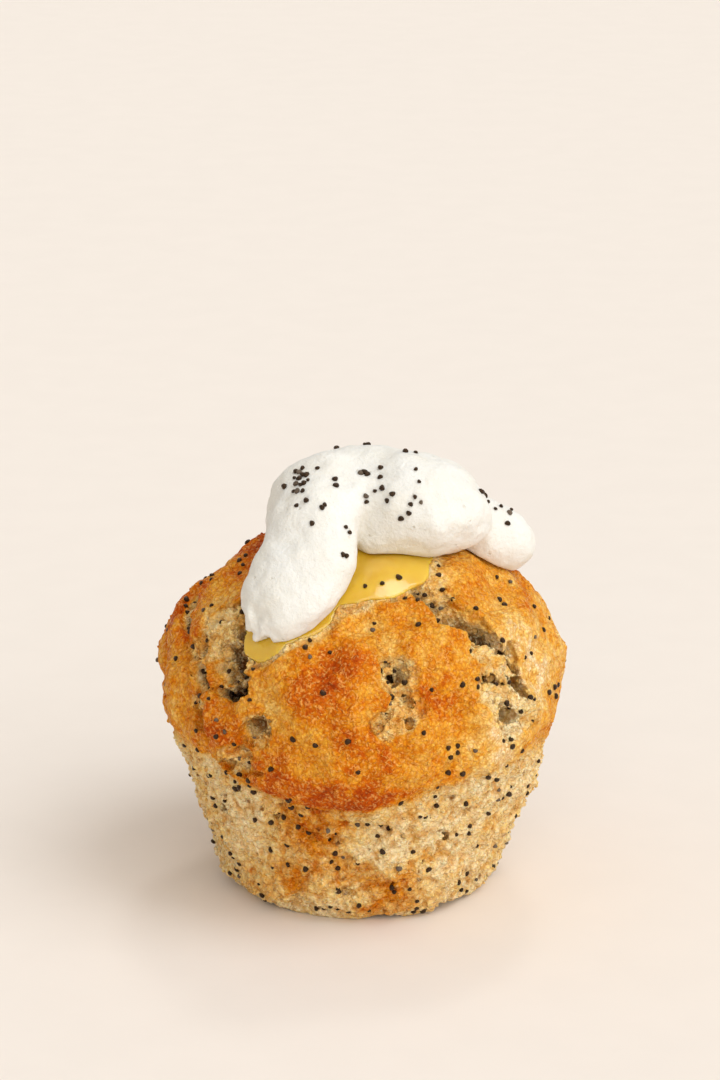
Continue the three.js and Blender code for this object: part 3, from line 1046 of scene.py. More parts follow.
class ShaderSheet(NodeSheet):
    """A material's node tree while it is being built, with the place that its patterns read."""

    def __init__(self, name: str) -> None:
        """Starts an empty material with its output and its surface shader.

        Args:
            name: Name of the material.
        """
        self.material = bpy.data.materials.new(name)
        self.material.use_nodes = True
        self.tree = self.material.node_tree
        self.tree.nodes.clear()
        self.surface = self.add("BsdfPrincipled")
        self.add("OutputMaterial", Surface=self.surface)
        self.place = self.add("TexCoord").outputs["Object"]

    def warp(self, size: float, reach: float) -> None:
        """Shifts all patterns that are added from here on by soft noise, so that no cell stays round.

        Args:
            size: Lump size of the noise in millimetres.
            reach: How far it shifts a place at most, in millimetres.
        """
        soft = self.add("TexNoise", self.place, per_mm(size), 1.0).outputs["Color"]
        offset = self.add("VectorMath", soft, (0.5, 0.5, 0.5), operation="SUBTRACT")
        offset = self.add("VectorMath", offset, operation="SCALE", Scale=2.0 * reach * MM)
        self.place = self.add("VectorMath", self.place, offset, operation="ADD").outputs[0]

    def uneven(self, size: float, detail: float, rough: float, reach: float) -> bpy.types.Node:
        """Soft unevenness round 0.

        Args:
            size: Size of its lumps in millimetres.
            detail: How many finer layers it has.
            rough: How strong each finer layer is.
            reach: Its whole span from lowest to highest.

        Returns:
            The unevenness.
        """
        noise = self.add("TexNoise", self.place, per_mm(size), detail, rough)
        return self.product(self.add("Math", noise, 0.5, operation="SUBTRACT"), reach)

    def browning(self, value: object, stops: Sequence[tuple[float, str]]) -> bpy.types.Node:
        """A colour that runs through stops.

        Args:
            value: Where on the run each place is, from 0 to 1.
            stops: Places on the run with their web colours.

        Returns:
            The colour.
        """
        node = self.add("ValToRGB", value)
        band = node.color_ramp
        while len(band.elements) < len(stops):
            band.elements.new(0.5)
        for element, (place, code) in zip(band.elements, stops):
            element.position, element.color = place, linear(code)
        return node

    def dress(self, **inputs: object) -> bpy.types.Material:
        """Sets or links inputs of the surface shader.

        Args:
            **inputs: Values, sockets or nodes by the inputs' names, with _ for a space.

        Returns:
            The finished material.
        """
        for name, value in inputs.items():
            self.feed(self.surface.inputs[name.replace("_", " ")], value)
        return self.material


@dataclass(frozen=True)
class CrustFinish:
    """Baked crust and torn crumb: a sugary grain whose colour follows how far it browned.

    Sizes are in millimetres. The finest grain is drawn a little coarse, so that it shows.
    """

    grain: float = 1.15
    fine: float = 0.6
    squiggle: float = 0.9
    mottle: float = 0.78
    speckle: float = 0.18
    pallor: float = 0.32
    relief: float = 0.3
    stops: tuple[tuple[float, str], ...] = (
        (0.0, "#ffefc4"),
        (0.18, "#fad77e"),
        (0.36, "#f0b33f"),
        (0.52, "#e49317"),
        (0.68, "#d26b07"),
        (0.85, "#ba5002"),
        (1.0, "#843404"),
    )
    # Colours multiplied in: for darker grains and painted shade between grains and clumps, then painted
    # shade in the pores and deep in the cracks
    gap: str = "#d4a24a"
    crumb_grain_tone_and_shade: str = "#e3b863"
    pore_shade: str = "#906524"
    deep: str = "#654510"
    # Colours of the highlights painted on the sugar curls; the crumb's one is also its pale colour
    painted_highlight: str = "#ffb854"
    crumb_pale_and_highlight: str = "#fff0c0"

    def sugar(self, sheet: ShaderSheet) -> bpy.types.Node:
        """Broken curls of glazed sugar: 1 on a curl and 0 beside it. They give the curls' bump and gloss,
        and mark where highlights are painted into the colour.

        Args:
            sheet: The material being built.

        Returns:
            The curls.
        """
        soft = sheet.add("TexNoise", sheet.place, per_mm(self.squiggle), 1.0)
        line = sheet.add("Math", sheet.add("Math", soft, 0.5, operation="SUBTRACT"), operation="ABSOLUTE")
        broken = sheet.add("TexNoise", sheet.place, per_mm(0.7), 1.0)
        return sheet.product(
            sheet.add("MapRange", line, 0.015, 0.1, 1.0, 0.0),
            sheet.add("MapRange", broken, 0.42, 0.6, 0.0, 1.0),
        )

    def material(self) -> bpy.types.Material:
        """Baked muffin crust: matt and grainy, with glossy curls of sugar and highlights painted on them.

        Returns:
            The material.
        """
        sheet = ShaderSheet("baked_crust")
        bake, crumb, sunk, pit = (
            sheet.add("Attribute", attribute_name=name).outputs["Fac"]
            for name in ("bake", "crumb", "sunk", "pit")
        )
        sheet.warp(0.9, 0.4)
        large = sheet.add("TexVoronoi", sheet.place, per_mm(self.grain))
        small = sheet.add("TexVoronoi", sheet.place, per_mm(self.fine))
        grain_mark, fine_mark = large.outputs["Color"], small.outputs["Color"]
        round_large = sheet.add("MapRange", large, 0.0, 0.8, 1.0, 0.0)
        round_small = sheet.add("MapRange", small, 0.0, 0.8, 1.0, 0.0)
        sugar_curls_and_highlights = self.sugar(sheet)
        speckle = sheet.product(sheet.add("Math", grain_mark, 0.5, operation="SUBTRACT"), self.speckle)
        tone = sheet.total(bake, sheet.uneven(2.6, 4.0, 0.62, self.mottle), speckle)

        # Torn crumb that hasn't browned is paler, and the colour of its gaps, for darker grains and painted
        # shade, is yellower
        pale = sheet.product(crumb, sheet.add("MapRange", tone, 0.2, 0.5, 1.0, 0.0))
        pale_crumb_and_highlight = linear(self.crumb_pale_and_highlight)
        colour = sheet.browning(tone, self.stops)
        colour = sheet.add("Mix", sheet.product(pale, self.pallor), colour, pale_crumb_and_highlight, data_type="RGBA")
        gap = sheet.add("Mix", pale, linear(self.gap), linear(self.crumb_grain_tone_and_shade), data_type="RGBA")

        # Some grains are darker at random, and painted shade darkens the gaps between grains, the open
        # pores, the low places between clumps and the depths of the cracks
        pore = sheet.product(
            sheet.add("MapRange", grain_mark, 0.1, 0.16, 1.0, 0.0),
            round_large,
            sheet.add("MapRange", crumb, 0.0, 1.0, 0.25, 1.2),
        )
        pore = sheet.add("Math", pore, 0.0, operation="ADD", use_clamp=True)
        patches = sheet.add("TexNoise", sheet.place, per_mm(4.0), 2.0)
        dull_grains = sheet.add("MapRange", fine_mark, 0.0, 0.5, 1.0, 0.0)
        between_fine = sheet.add("MapRange", round_small, 0.15, 0.85, 1.0, 0.0)
        between_large = sheet.add("MapRange", round_large, 0.15, 0.6, 1.0, 0.0)
        stains_and_shade = (
            (sheet.product(dull_grains, sheet.add("MapRange", crumb, 0.0, 1.0, 0.55, 0.42)), gap),
            # Painted shade between small and between large grains
            (sheet.product(between_fine, sheet.add("MapRange", crumb, 0.0, 1.0, 0.6, 0.3)), gap),
            (sheet.product(between_large, crumb, 0.35), gap),
            # Painted shade in the open pores
            (pore, linear(self.pore_shade)),
            # Painted shade in the low places between clumps of crumb
            (sheet.product(pit, sheet.add("MapRange", patches, 0.38, 0.62, 0.1, 0.8)), gap),
            # Painted shade deep in the cracks
            (sheet.product(sunk, 0.95), linear(self.deep)),
        )
        for share, darkening_colour in stains_and_shade:
            colour = sheet.add("Mix", share, colour, darkening_colour, data_type="RGBA", blend_type="MULTIPLY")

        # Painted highlights on the sugar curls: strongest where the crust is golden, weaker in pits and
        # where it is dark
        painted_highlight_share = sheet.product(
            sheet.add("MapRange", tone, 0.3, 0.6, 0.4, 0.6),
            sheet.add("MapRange", pit, 0.0, 1.0, 1.0, 0.3),
            sheet.add("MapRange", tone, 0.66, 0.95, 1.0, 0.35),
        )
        # Colour of the painted highlights: warm on the crust, pale on the crumb
        painted_highlight_colour = sheet.add("Mix", pale, linear(self.painted_highlight), pale_crumb_and_highlight, data_type="RGBA")
        colour = sheet.add("Mix", sheet.product(sugar_curls_and_highlights, painted_highlight_share), colour, painted_highlight_colour, data_type="RGBA")
        grains = sheet.total(
            sheet.product(grain_mark, 0.7),
            round_large,
            sheet.product(fine_mark, 0.5),
            sheet.product(round_small, 0.6),
        )
        height = sheet.total(
            sheet.product(grains, sheet.add("MapRange", crumb, 0.0, 1.0, 0.75, 1.35)),
            sheet.product(sugar_curls_and_highlights, 0.5),
            sheet.product(pore, -1.5),
        )
        return sheet.dress(
            Base_Color=colour,
            Roughness=sheet.add("MapRange", sugar_curls_and_highlights, 0.0, 1.0, 0.55, 0.3),
            Specular_IOR_Level=sheet.add("MapRange", sugar_curls_and_highlights, 0.0, 1.0, 0.06, 0.4),
            Subsurface_Weight=0.12,
            Subsurface_Radius=(1.0, 0.5, 0.12),
            Subsurface_Scale=0.8 * MM,
            Normal=sheet.add("Bump", Height=height, Distance=self.relief * MM, Strength=1.0),
        )


@dataclass(frozen=True)
class CurdFinish:
    """Cooked lemon curd: smooth, glossy and a little see-into."""

    colour: str = "#e2bb36"
    deep: str = "#d4a51e"
    cloud: float = 7.0
    ripple: float = 2.8
    relief: float = 0.16

    def material(self) -> bpy.types.Material:
        """Glossy lemon curd: its wet skin gives sharp soft-edged lights.

        Returns:
            The material.
        """
        sheet = ShaderSheet("lemon_curd")
        noise = sheet.add("TexNoise", sheet.place, per_mm(self.cloud), 2.0)
        clouds = sheet.add("MapRange", noise, 0.35, 0.7)
        ripples = sheet.add("TexNoise", sheet.place, per_mm(self.ripple), 2.0)
        return sheet.dress(
            Base_Color=sheet.add("Mix", clouds, linear(self.colour), linear(self.deep), data_type="RGBA"),
            Roughness=0.2,
            Specular_IOR_Level=0.5,
            Subsurface_Weight=0.45,
            Subsurface_Radius=(1.0, 0.7, 0.1),
            Subsurface_Scale=2.0 * MM,
            Coat_Weight=0.8,
            Coat_Roughness=0.11,
            Normal=sheet.add("Bump", Height=ripples, Distance=self.relief * MM, Strength=1.0),
        )


@dataclass(frozen=True)
class CreamFinish:
    """Whipped cream: soft white with tiny air bubbles."""

    colour: str = "#e8e6df"
    shade: str = "#e4e0d5"
    # Colour of the painted shade in popped bubbles
    hollow: str = "#d9c9a4"
    bubble: float = 1.3
    relief: float = 0.26

    def material(self) -> bpy.types.Material:
        """Whipped cream: matt, and light goes a little way in.

        Returns:
            The material.
        """
        sheet = ShaderSheet("whipped_cream")
        clouds = sheet.add("MapRange", sheet.add("TexNoise", sheet.place, per_mm(6.0), 3.0), 0.35, 0.7)
        colour = sheet.add("Mix", clouds, linear(self.colour), linear(self.shade), data_type="RGBA")
        bubbles = sheet.add("TexVoronoi", sheet.place, per_mm(self.bubble))
        popped = sheet.product(
            sheet.add("MapRange", bubbles, 0.08, 0.24, 1.0, 0.0),
            sheet.add("MapRange", bubbles.outputs["Color"], 0.16, 0.22, 1.0, 0.0),
        )
        # Painted shade: popped bubbles are darker and yellower
        painted_dimple_shade = sheet.product(popped, 0.3)
        height = sheet.total(
            sheet.add("TexNoise", sheet.place, per_mm(0.7), 3.0, 0.65),
            sheet.product(sheet.add("TexNoise", sheet.place, per_mm(2.4), 3.0, 0.6), 1.1),
            sheet.product(popped, -0.9),
        )
        return sheet.dress(
            Base_Color=sheet.add("Mix", painted_dimple_shade, colour, linear(self.hollow), data_type="RGBA"),
            Roughness=0.62,
            Specular_IOR_Level=0.22,
            Subsurface_Weight=0.3,
            Subsurface_Radius=(1.0, 0.92, 0.8),
            Subsurface_Scale=1.3 * MM,
            Normal=sheet.add("Bump", Height=height, Distance=self.relief * MM, Strength=1.0),
        )


@dataclass(frozen=True)
class SeedFinish:
    """Poppy seed: brown-black with a fine net of ridges, and a highlight painted on top."""

    dark: str = "#180e08"
    light: str = "#4a3524"
    top_highlight_colour: str = "#8a705a"
    veil: str = "#8f8172"
    warmth: str = "#ffd0a4"
    mesh: float = 0.2
    relief: float = 0.04

    def material(self) -> bpy.types.Material:
        """Poppy seed coat: a hard skin with small warm lights, and a pale highlight painted where it faces
        up.

        Returns:
            The material.
        """
        sheet = ShaderSheet("poppy_seed")
        net = sheet.add("TexVoronoi", sheet.place, per_mm(self.mesh), feature="DISTANCE_TO_EDGE")
        ridge = sheet.add("MapRange", net, 0.0, 0.12, 1.0, 0.0)
        worn = sheet.add("MapRange", sheet.add("TexNoise", sheet.place, per_mm(2.5), 1.0), 0.35, 0.65)
        tone = sheet.product(ridge, worn)
        coat = sheet.add("Mix", tone, linear(self.dark), linear(self.light), data_type="RGBA")
        # Painted highlight: lighter where the seed faces up, broken up by noise
        facing = sheet.add("SeparateXYZ", sheet.add("NewGeometry").outputs["Normal"])
        painted_top_highlight = sheet.product(
            sheet.add("MapRange", facing.outputs["Z"], 0.72, 1.0),
            sheet.add("MapRange", sheet.add("TexNoise", sheet.place, per_mm(1.6), 1.0), 0.3, 0.7, 0.0, 0.6),
        )
        coat = sheet.add("Mix", painted_top_highlight, coat, linear(self.top_highlight_colour), data_type="RGBA")
        veil = sheet.add("Attribute", attribute_name="veil").outputs["Fac"]
        return sheet.dress(
            Base_Color=sheet.add("Mix", veil, coat, linear(self.veil), data_type="RGBA"),
            Roughness=0.25,
            Specular_IOR_Level=0.5,
            Specular_Tint=linear(self.warmth),
            Normal=sheet.add("Bump", Height=ridge, Distance=self.relief * MM, Strength=1.0),
        )


@dataclass(frozen=True)
class TableFinish:
    """Matt pale table top."""

    colour: str = "#ede4da"
    cloud: str = "#ece3d9"

    def material(self) -> bpy.types.Material:
        """Matt warm white table.

        Returns:
            The material.
        """
        sheet = ShaderSheet("pale_table")
        clouds = sheet.add("MapRange", sheet.add("TexNoise", sheet.place, per_mm(14.0), 4.0), 0.4, 0.6)
        colour = sheet.add("Mix", clouds, linear(self.colour), linear(self.cloud), data_type="RGBA")
        return sheet.dress(Base_Color=colour, Roughness=0.85, Specular_IOR_Level=0.2)


# Geometry Nodes


class ScatterTree(NodeSheet):
    """A node tree that lays a small shape on points or over a surface, and makes it real mesh."""

    def __init__(self, name: str) -> None:
        """Starts an empty tree with its mesh in and out.

        Args:
            name: Name of the tree.
        """
        self.tree = bpy.data.node_groups.new(name, "GeometryNodeTree")
        face = self.tree.interface
        face.new_socket("Geometry", in_out="INPUT", socket_type="NodeSocketGeometry")
        face.new_socket("Geometry", in_out="OUTPUT", socket_type="NodeSocketGeometry")
        self.entry = self.tree.nodes.new("NodeGroupInput")
        self.exit = self.tree.nodes.new("NodeGroupOutput")

    def input(self, name: str, kind: str, value: object = None) -> bpy.types.NodeSocket:
        """Gives the tree a named input.

        Args:
            name: Name of the input.
            kind: Blender's name for what it holds.
            value: Its value where none is set.

        Returns:
            The socket where it comes in.
        """
        socket = self.tree.interface.new_socket(name, in_out="INPUT", socket_type=f"NodeSocket{kind}")
        if value is not None:
            socket.default_value = value
        return self.entry.outputs[name]

    def finish(self, instances: bpy.types.Node, material: bpy.types.NodeSocket) -> None:
        """Makes the laid shapes real mesh with their material, and sends them out.

        Args:
            instances: The node that lays the shapes.
            material: Where their material comes in.
        """
        real = self.add("GeometryNodeRealizeInstances", Geometry=instances)
        done = self.add("GeometryNodeSetMaterial", Geometry=real, Material=material)
        self.tree.links.new(done.outputs[0], self.exit.inputs[0])

    def run(self, piece: bpy.types.Object, values: dict[str, object]) -> None:
        """Runs the tree on a piece and keeps the plain mesh that comes out.

        Args:
            piece: The object that carries the points or the surface.
            values: Values for the tree's named inputs.
        """
        modifier = piece.modifiers.new(self.tree.name, "NODES")
        modifier.node_group = self.tree
        for socket in self.tree.interface.items_tree:
            if socket.in_out == "INPUT" and socket.name in values:
                modifier[socket.identifier] = values[socket.name]
        as_mesh(piece)


def seed_tree() -> ScatterTree:
    """Poppy seeds, one on each point: a small kidney lying flat along the kept way out.

    Returns:
        The tree.
    """
    sheet = ScatterTree("lay_poppy_seeds")
    length = sheet.input("Length", "Float", 1.25 * MM)
    width = sheet.input("Width", "Float", 1.02 * MM)
    thickness = sheet.input("Thickness", "Float", 0.85 * MM)
    dent = sheet.input("Dent", "Float", 0.75)
    chance = sheet.input("Chance", "Int", 3)
    coat = sheet.input("Coat", "Material")
    ball = sheet.add("GeometryNodeMeshUVSphere", Segments=8, Rings=5, Radius=0.5)
    x, y, z = sheet.add("SeparateXYZ", sheet.add("GeometryNodeInputPosition")).outputs
    bent = sheet.add("Math", y, sheet.product(x, x, dent), operation="SUBTRACT")
    place = sheet.add(
        "CombineXYZ",
        sheet.product(x, length),
        sheet.product(bent, width),
        sheet.product(z, thickness),
    )
    shaped = sheet.add("GeometryNodeSetPosition", Geometry=ball, Position=place)
    smooth = sheet.add("GeometryNodeSetShadeSmooth", Geometry=shaped)
    way_out = sheet.add("GeometryNodeInputNamedAttribute", data_type="FLOAT_VECTOR", Name="way_out")
    grow = sheet.add("GeometryNodeInputNamedAttribute", data_type="FLOAT", Name="grow")
    lie = sheet.add("FunctionNodeAlignRotationToVector", axis="Z", Vector=way_out)
    turn = sheet.add("FunctionNodeRandomValue", 0.0, math.tau, data_type="FLOAT", Seed=chance)
    spin = sheet.add("FunctionNodeEulerToRotation", sheet.add("CombineXYZ", Z=turn))
    turned = sheet.add("FunctionNodeRotateRotation", rotation_space="LOCAL", Rotation=lie, Rotate_By=spin)
    laid = sheet.add(
        "GeometryNodeInstanceOnPoints",
        Points=sheet.entry.outputs[0],
        Instance=smooth,
        Rotation=turned,
        Scale=grow,
    )
    sheet.finish(laid, coat)
    return sheet


def crumb_tree() -> ScatterTree:
    """Loose grains of crumb over a surface, thickest where it is marked as crumbly.

    Returns:
        The tree.
    """
    sheet = ScatterTree("strew_crumb")
    spacing = sheet.input("Spacing", "Float", 0.7 * MM)
    density = sheet.input("Density", "Float", 1.0e6)
    size = sheet.input("Grain size", "Float", 0.6 * MM)
    chance = sheet.input("Chance", "Int", 5)
    finish = sheet.input("Finish", "Material")
    crumbly = sheet.add("GeometryNodeInputNamedAttribute", data_type="FLOAT", Name="crumbly")
    strewn = sheet.add(
        "GeometryNodeDistributePointsOnFaces",
        distribute_method="POISSON",
        Mesh=sheet.entry.outputs[0],
        Distance_Min=spacing,
        Density_Max=density,
        Density_Factor=crumbly,
        Seed=chance,
    )
    ball = sheet.add("GeometryNodeMeshIcoSphere", Radius=0.5, Subdivisions=1)
    smooth = sheet.add("GeometryNodeSetShadeSmooth", Geometry=ball)
    smallest, largest = (0.5, 0.5, 0.4), (1.4, 1.15, 0.95)
    scale = sheet.add("FunctionNodeRandomValue", smallest, largest, data_type="FLOAT_VECTOR", Seed=chance)
    grown = sheet.add("VectorMath", scale, operation="SCALE", Scale=size)
    laid = sheet.add(
        "GeometryNodeInstanceOnPoints",
        Points=strewn.outputs["Points"],
        Instance=smooth,
        Rotation=strewn.outputs["Rotation"],
        Scale=grown,
    )
    sheet.finish(laid, finish)
    return sheet


# Pieces


@dataclass
class CakePiece:
    """The baked cake with its crumb and seeds."""

    form: CakeForm
    cream: CreamForm
    step: float = 0.45
    triangles: int = 190_000
    seeds: int = 680
    seed_gap: float = 1.25
    bared_depth: float = 0.75
    clustered: float = 0.4
    cluster_reach: float = 2.4
    loose_grain: float = 0.85
    loose_spacing: float = 0.95
    loose_density: float = 1.1
    browned: tuple[Spot, ...] = (
        Spot((-5.8, -33.0, 51.5), 10.0, 0.32),
        Spot((-11.0, -34.5, 46.8), 6.0, 0.16),
        Spot((-17.0, -33.0, 45.0), 8.0, -0.1),
        Spot((14.0, -25.5, 58.2), 9.0, -0.16),
        Spot((5.5, -31.0, 56.0), 5.5, -0.16),
        Spot((4.5, -37.0, 47.5), 5.0, 0.14),
        Spot((-26.7, -27.0, 38.5), 7.0, 0.16),
        Spot((-26.0, -24.5, 34.5), 5.0, -0.16),
        Spot((-35.0, -5.0, 49.0), 11.0, 0.28),
        Spot((-31.0, 0.0, 58.0), 10.0, 0.22),
        Spot((-20.0, 2.0, 66.0), 9.0, 0.24),
        Spot((-27.0, -14.0, 58.0), 10.0, -0.16),
        Spot((2.3, -37.5, 37.0), 10.0, 0.12),
        Spot((-12.0, -36.0, 36.0), 7.0, 0.06),
        Spot((30.0, -19.0, 49.0), 21.0, -0.33),
        Spot((24.0, -14.0, 62.0), 5.0, 0.16),
        Spot((22.0, -29.0, 38.0), 13.0, -0.31),
        Spot((30.0, -7.0, 59.0), 8.0, 0.1),
        Spot((37.0, -5.0, 46.0), 14.0, -0.18),
        Spot((-36.0, -9.0, 44.0), 12.0, -0.1),
        Spot((26.0, -26.0, 40.0), 11.0, -0.24),
        Spot((-25.5, -19.0, 54.0), 9.0, -0.04),
        Spot((14.0, -16.0, 64.5), 5.0, -0.24),
        Spot((-14.0, -32.0, 52.5), 5.0, -0.14),
        Spot((0.0, -28.0, 59.5), 6.0, -0.12),
        Spot((0.0, 33.0, 51.0), 14.0, 0.3),
        Spot((-30.0, 19.0, 50.0), 12.0, 0.22),
        Spot((31.0, 19.0, 50.0), 12.0, 0.25),
    )
    cup_patches: tuple[Spot, ...] = (
        Spot((-11.3, -29.9, 20.4), 13.0, 0.56),
        Spot((-2.0, -31.0, 25.0), 8.0, 0.3),
        Spot((-13.0, -26.0, 8.0), 8.0, 0.46),
        Spot((-3.0, -29.0, 12.0), 8.0, 0.26),
        Spot((6.0, -27.0, 9.0), 8.0, 0.5),
        Spot((2.0, -27.0, 3.0), 7.0, 0.34),
        Spot((-20.0, -20.0, 6.0), 8.0, 0.2),
        Spot((28.0, -11.0, 10.0), 9.0, 0.16),
        Spot((34.0, -3.0, 22.0), 10.0, 0.06),
        Spot((37.0, -1.0, 31.0), 8.0, 0.1),
        Spot((20.0, -24.0, 22.0), 13.0, -0.14),
        Spot((-31.0, -14.0, 28.0), 8.0, 0.3),
        Spot((-29.0, -8.0, 18.0), 8.0, 0.2),
        Spot((5.0, 29.0, 16.0), 14.0, 0.36),
        Spot((-24.0, 18.0, 12.0), 12.0, 0.3),
        Spot((24.0, 22.0, 24.0), 10.0, 0.3),
    )
    grain: Grain = field(default_factory=lambda: Grain(23))

    def body(self) -> bpy.types.Object:
        """Nets the cake, roughens its surface and keeps how it baked on its points.

        Returns:
            The cake.
        """
        step = self.step * 1.0
        low, high = (-41.5, -41.5, -0.5 * step), (41.5, 41.5, 73.0)
        points, quads = field_net(self.form.distance, self.form.plain, low, high, step, (11.0, 3.5))
        piece = object_of("muffin_cake_crust", mesh_of("muffin_cake_crust", points, quads))
        move_points(piece.data, self.roughened(points_of(piece.data), normals_of(piece.data)))
        thinned(piece, self.triangles)
        self.mark(piece.data)
        return piece

    def open_share(self, points: np.ndarray) -> np.ndarray:
        """1 on the open surface, and 0 where the cream, the curd or the table touches it.

        Args:
            points: Places in millimetres, one a row.

        Returns:
            One value for each point.
        """
        clear = ramp(self.cream.lobed(points), 0.3, 1.6) * ramp(self.form.hollow(points), 0.0, 0.5)
        return clear * ramp(points[:, 2], 0.0, 1.6)

    def roughened(self, points: np.ndarray, ways: np.ndarray) -> np.ndarray:
        """Points moved out and in by small lumps and grains of sugar.

        Args:
            points: Places in millimetres, one a row.
            ways: The way out at each.

        Returns:
            The moved points.
        """
        crumb = self.form.crumb_share(points)
        small = (0.24 + 0.12 * crumb) * self.grain.layered(points, 2.6, 2)
        near, _ = self.grain.cells(points, 1.2)
        grains = (0.32 + 0.3 * crumb) * (0.5 - near) + 1.05 * crumb * (0.45 - self.clumps(points))
        bared = self.bared_depth * self.form.bared(points)
        moved = points + ways * ((small + grains - bared) * self.open_share(points))[:, None]
        moved[:, 2] = np.maximum(moved[:, 2], 0.0)
        return moved

    def clumps(self, points: np.ndarray) -> np.ndarray:
        """How far each point is from the middle of its clump of crumb, from 0 to about 1."""
        bent = points + 0.7 * np.stack([self.grain.soft(points + 30.0 * i, 2.4) for i in (1, 2, 3)], axis=1)
        return self.grain.cells(bent + 17.0, 1.9)[0]

    def mark(self, mesh: bpy.types.Mesh) -> None:
        """Keeps on each point how far it browned, how much it is crumb, where painted shade falls in pits
        and cracks, and where loose grains lie.

        Args:
            mesh: The mesh.
        """
        points = points_of(mesh)
        x, y, z = points.T
        azimuth = np.degrees(np.arctan2(y, x)) % 360.0
        above_lip = z - self.form.lip_height(azimuth)
        crumb = self.form.crumb_share(points)
        dome = 0.46 + sum(spot.share(points) for spot in self.browned)
        front = np.exp(-(((azimuth - 258.0) / 30.0) ** 2))
        uneven = above_lip - 2.4 + 1.2 * self.grain.soft(points, 4.0)
        dome = dome + 0.36 * front * (1.0 - ramp(np.abs(uneven), 1.6, 5.0))
        cup = 0.06 + sum(spot.share(points) for spot in self.cup_patches)
        cup = cup + (np.minimum(dome, 0.45) * 0.62 - cup) * ramp(above_lip, -1.0, 3.0)
        bake = dome * (1.0 - crumb) + cup * crumb
        sunk = -self.form.crust(points)
        in_dome = ramp(sunk, 0.9, 2.4) * ramp(above_lip, -1.0, 2.0)
        bake = bake * (1.0 - in_dome) + 0.16 * in_dome
        bake = bake + 0.13 * self.grain.layered(points + 5.0, 7.0, 3)
        store(mesh, "bake", np.clip(bake, 0.0, 1.0))
        store(mesh, "crumb", crumb)
        clear = self.open_share(points)
        # Low places between clumps of crumb, where the crust's colour gets painted shade
        store(mesh, "pit", ramp(self.clumps(points), 0.42, 0.72) * (0.15 + 0.85 * crumb) * clear)
        # How far below the crust each point lies; the crust's colour is darkened by it as painted shade in
        # the cracks
        store(mesh, "sunk", ramp(sunk, 1.6, 4.2) * clear)
        store(mesh, "crumbly", np.clip(0.1 + 0.9 * crumb, 0.0, 1.0) * clear * ramp(z, 0.6, 1.5))

    def seed_points(self, mesh: bpy.types.Mesh) -> bpy.types.Mesh:
        """Points for the seeds: spread over the crust, and closer together in the cracks.

        Args:
            mesh: The cake's mesh.

        Returns:
            A mesh of points with each seed's way out and size.
        """
        points, ways = points_of(mesh), normals_of(mesh)
        clear = (self.cream.lobed(points) > 0.8) & (self.form.hollow(points) > 0.5) & (points[:, 2] > 1.2)
        deep = 1.0 - ramp(self.form.crust(points), -3.0, -0.8)
        weight = clear * (0.35 + 1.1 * deep + 0.3 * ramp(self.grain.soft(points, 9.0), -0.2, 0.7))
        source = np.random.default_rng(41)
        order = source.choice(len(points), size=self.seeds * 30, replace=False, p=weight / weight.sum())
        kept: list[int] = []
        for index in order:
            if len(kept) == self.seeds:
                break
            away = np.linalg.norm(points[kept] - points[index], axis=1) if kept else np.full(1, 50.0)
            together = source.random() < self.clustered
            if away.min() > self.seed_gap and (not together or away.min() < self.cluster_reach):
                kept.append(int(index))
        return seed_carrier("cake_seed_points", points[kept] + ways[kept] * 0.1, ways[kept], source)

    def build(
        self,
        crust: bpy.types.Material,
        coat: bpy.types.Material,
        seeds: ScatterTree,
        crumb: ScatterTree,
    ) -> None:
        """Builds the cake, its loose crumb and its seeds, and ties them to the part.

        Args:
            crust: Finish of crust and crumb.
            coat: Finish of the seeds.
            seeds: Tree that lays seeds.
            crumb: Tree that strews crumb.
        """
        piece = self.body()
        piece.data.materials.append(crust)
        strewn = object_of("muffin_cake_crumb", piece.data.copy())
        strewing = {
            "Grain size": self.loose_grain * MM,
            "Spacing": self.loose_spacing * MM,
            "Density": self.loose_density / MM**2,
            "Chance": 5,
            "Finish": crust,
        }
        crumb.run(strewn, strewing)
        laid = object_of("muffin_cake_seeds", self.seed_points(piece.data))
        seeds.run(laid, {"Coat": coat, "Chance": 3})
        for one in (piece, strewn, laid):
            tie(one, Node.CAKE, Slot.CAKE)


@dataclass
class CurdPiece:
    """The pool of curd with the seeds that fell on it."""

    form: CakeForm
    step: float = 0.45
    seeds: tuple[tuple[float, float], ...] = ((0.6, -21.9), (6.6, -19.4), (3.6, -21.2))

    def build(self, finish: bpy.types.Material, coat: bpy.types.Material, seeds: ScatterTree) -> None:
        """Builds the curd and its seeds, and ties them to the part.

        Args:
            finish: Finish of the curd.
            coat: Finish of the seeds.
            seeds: Tree that lays seeds.
        """
        step = self.step * 1.0
        low, high = (-23, -31, 46), (16, 8, 72)
        points, quads = field_net(self.form.curd, self.form.curd, low, high, step, (0.0, 0.0))
        piece = object_of("lemon_curd_pool", mesh_of("lemon_curd_pool", points, quads))
        piece.data.materials.append(finish)
        laid = object_of("lemon_curd_seeds", dropped_seeds("curd_seed_points", piece, self.seeds, 8))
        seeds.run(laid, {"Coat": coat, "Chance": 7})
        for one in (piece, laid):
            tie(one, Node.CURD, Slot.CURD)


@dataclass(frozen=True)
class Sprinkle:
    """Seeds that fell together: the patch's middle and spread in plan, in millimetres, and how many."""

    at: tuple[float, float]
    spread: tuple[float, float]
    count: int


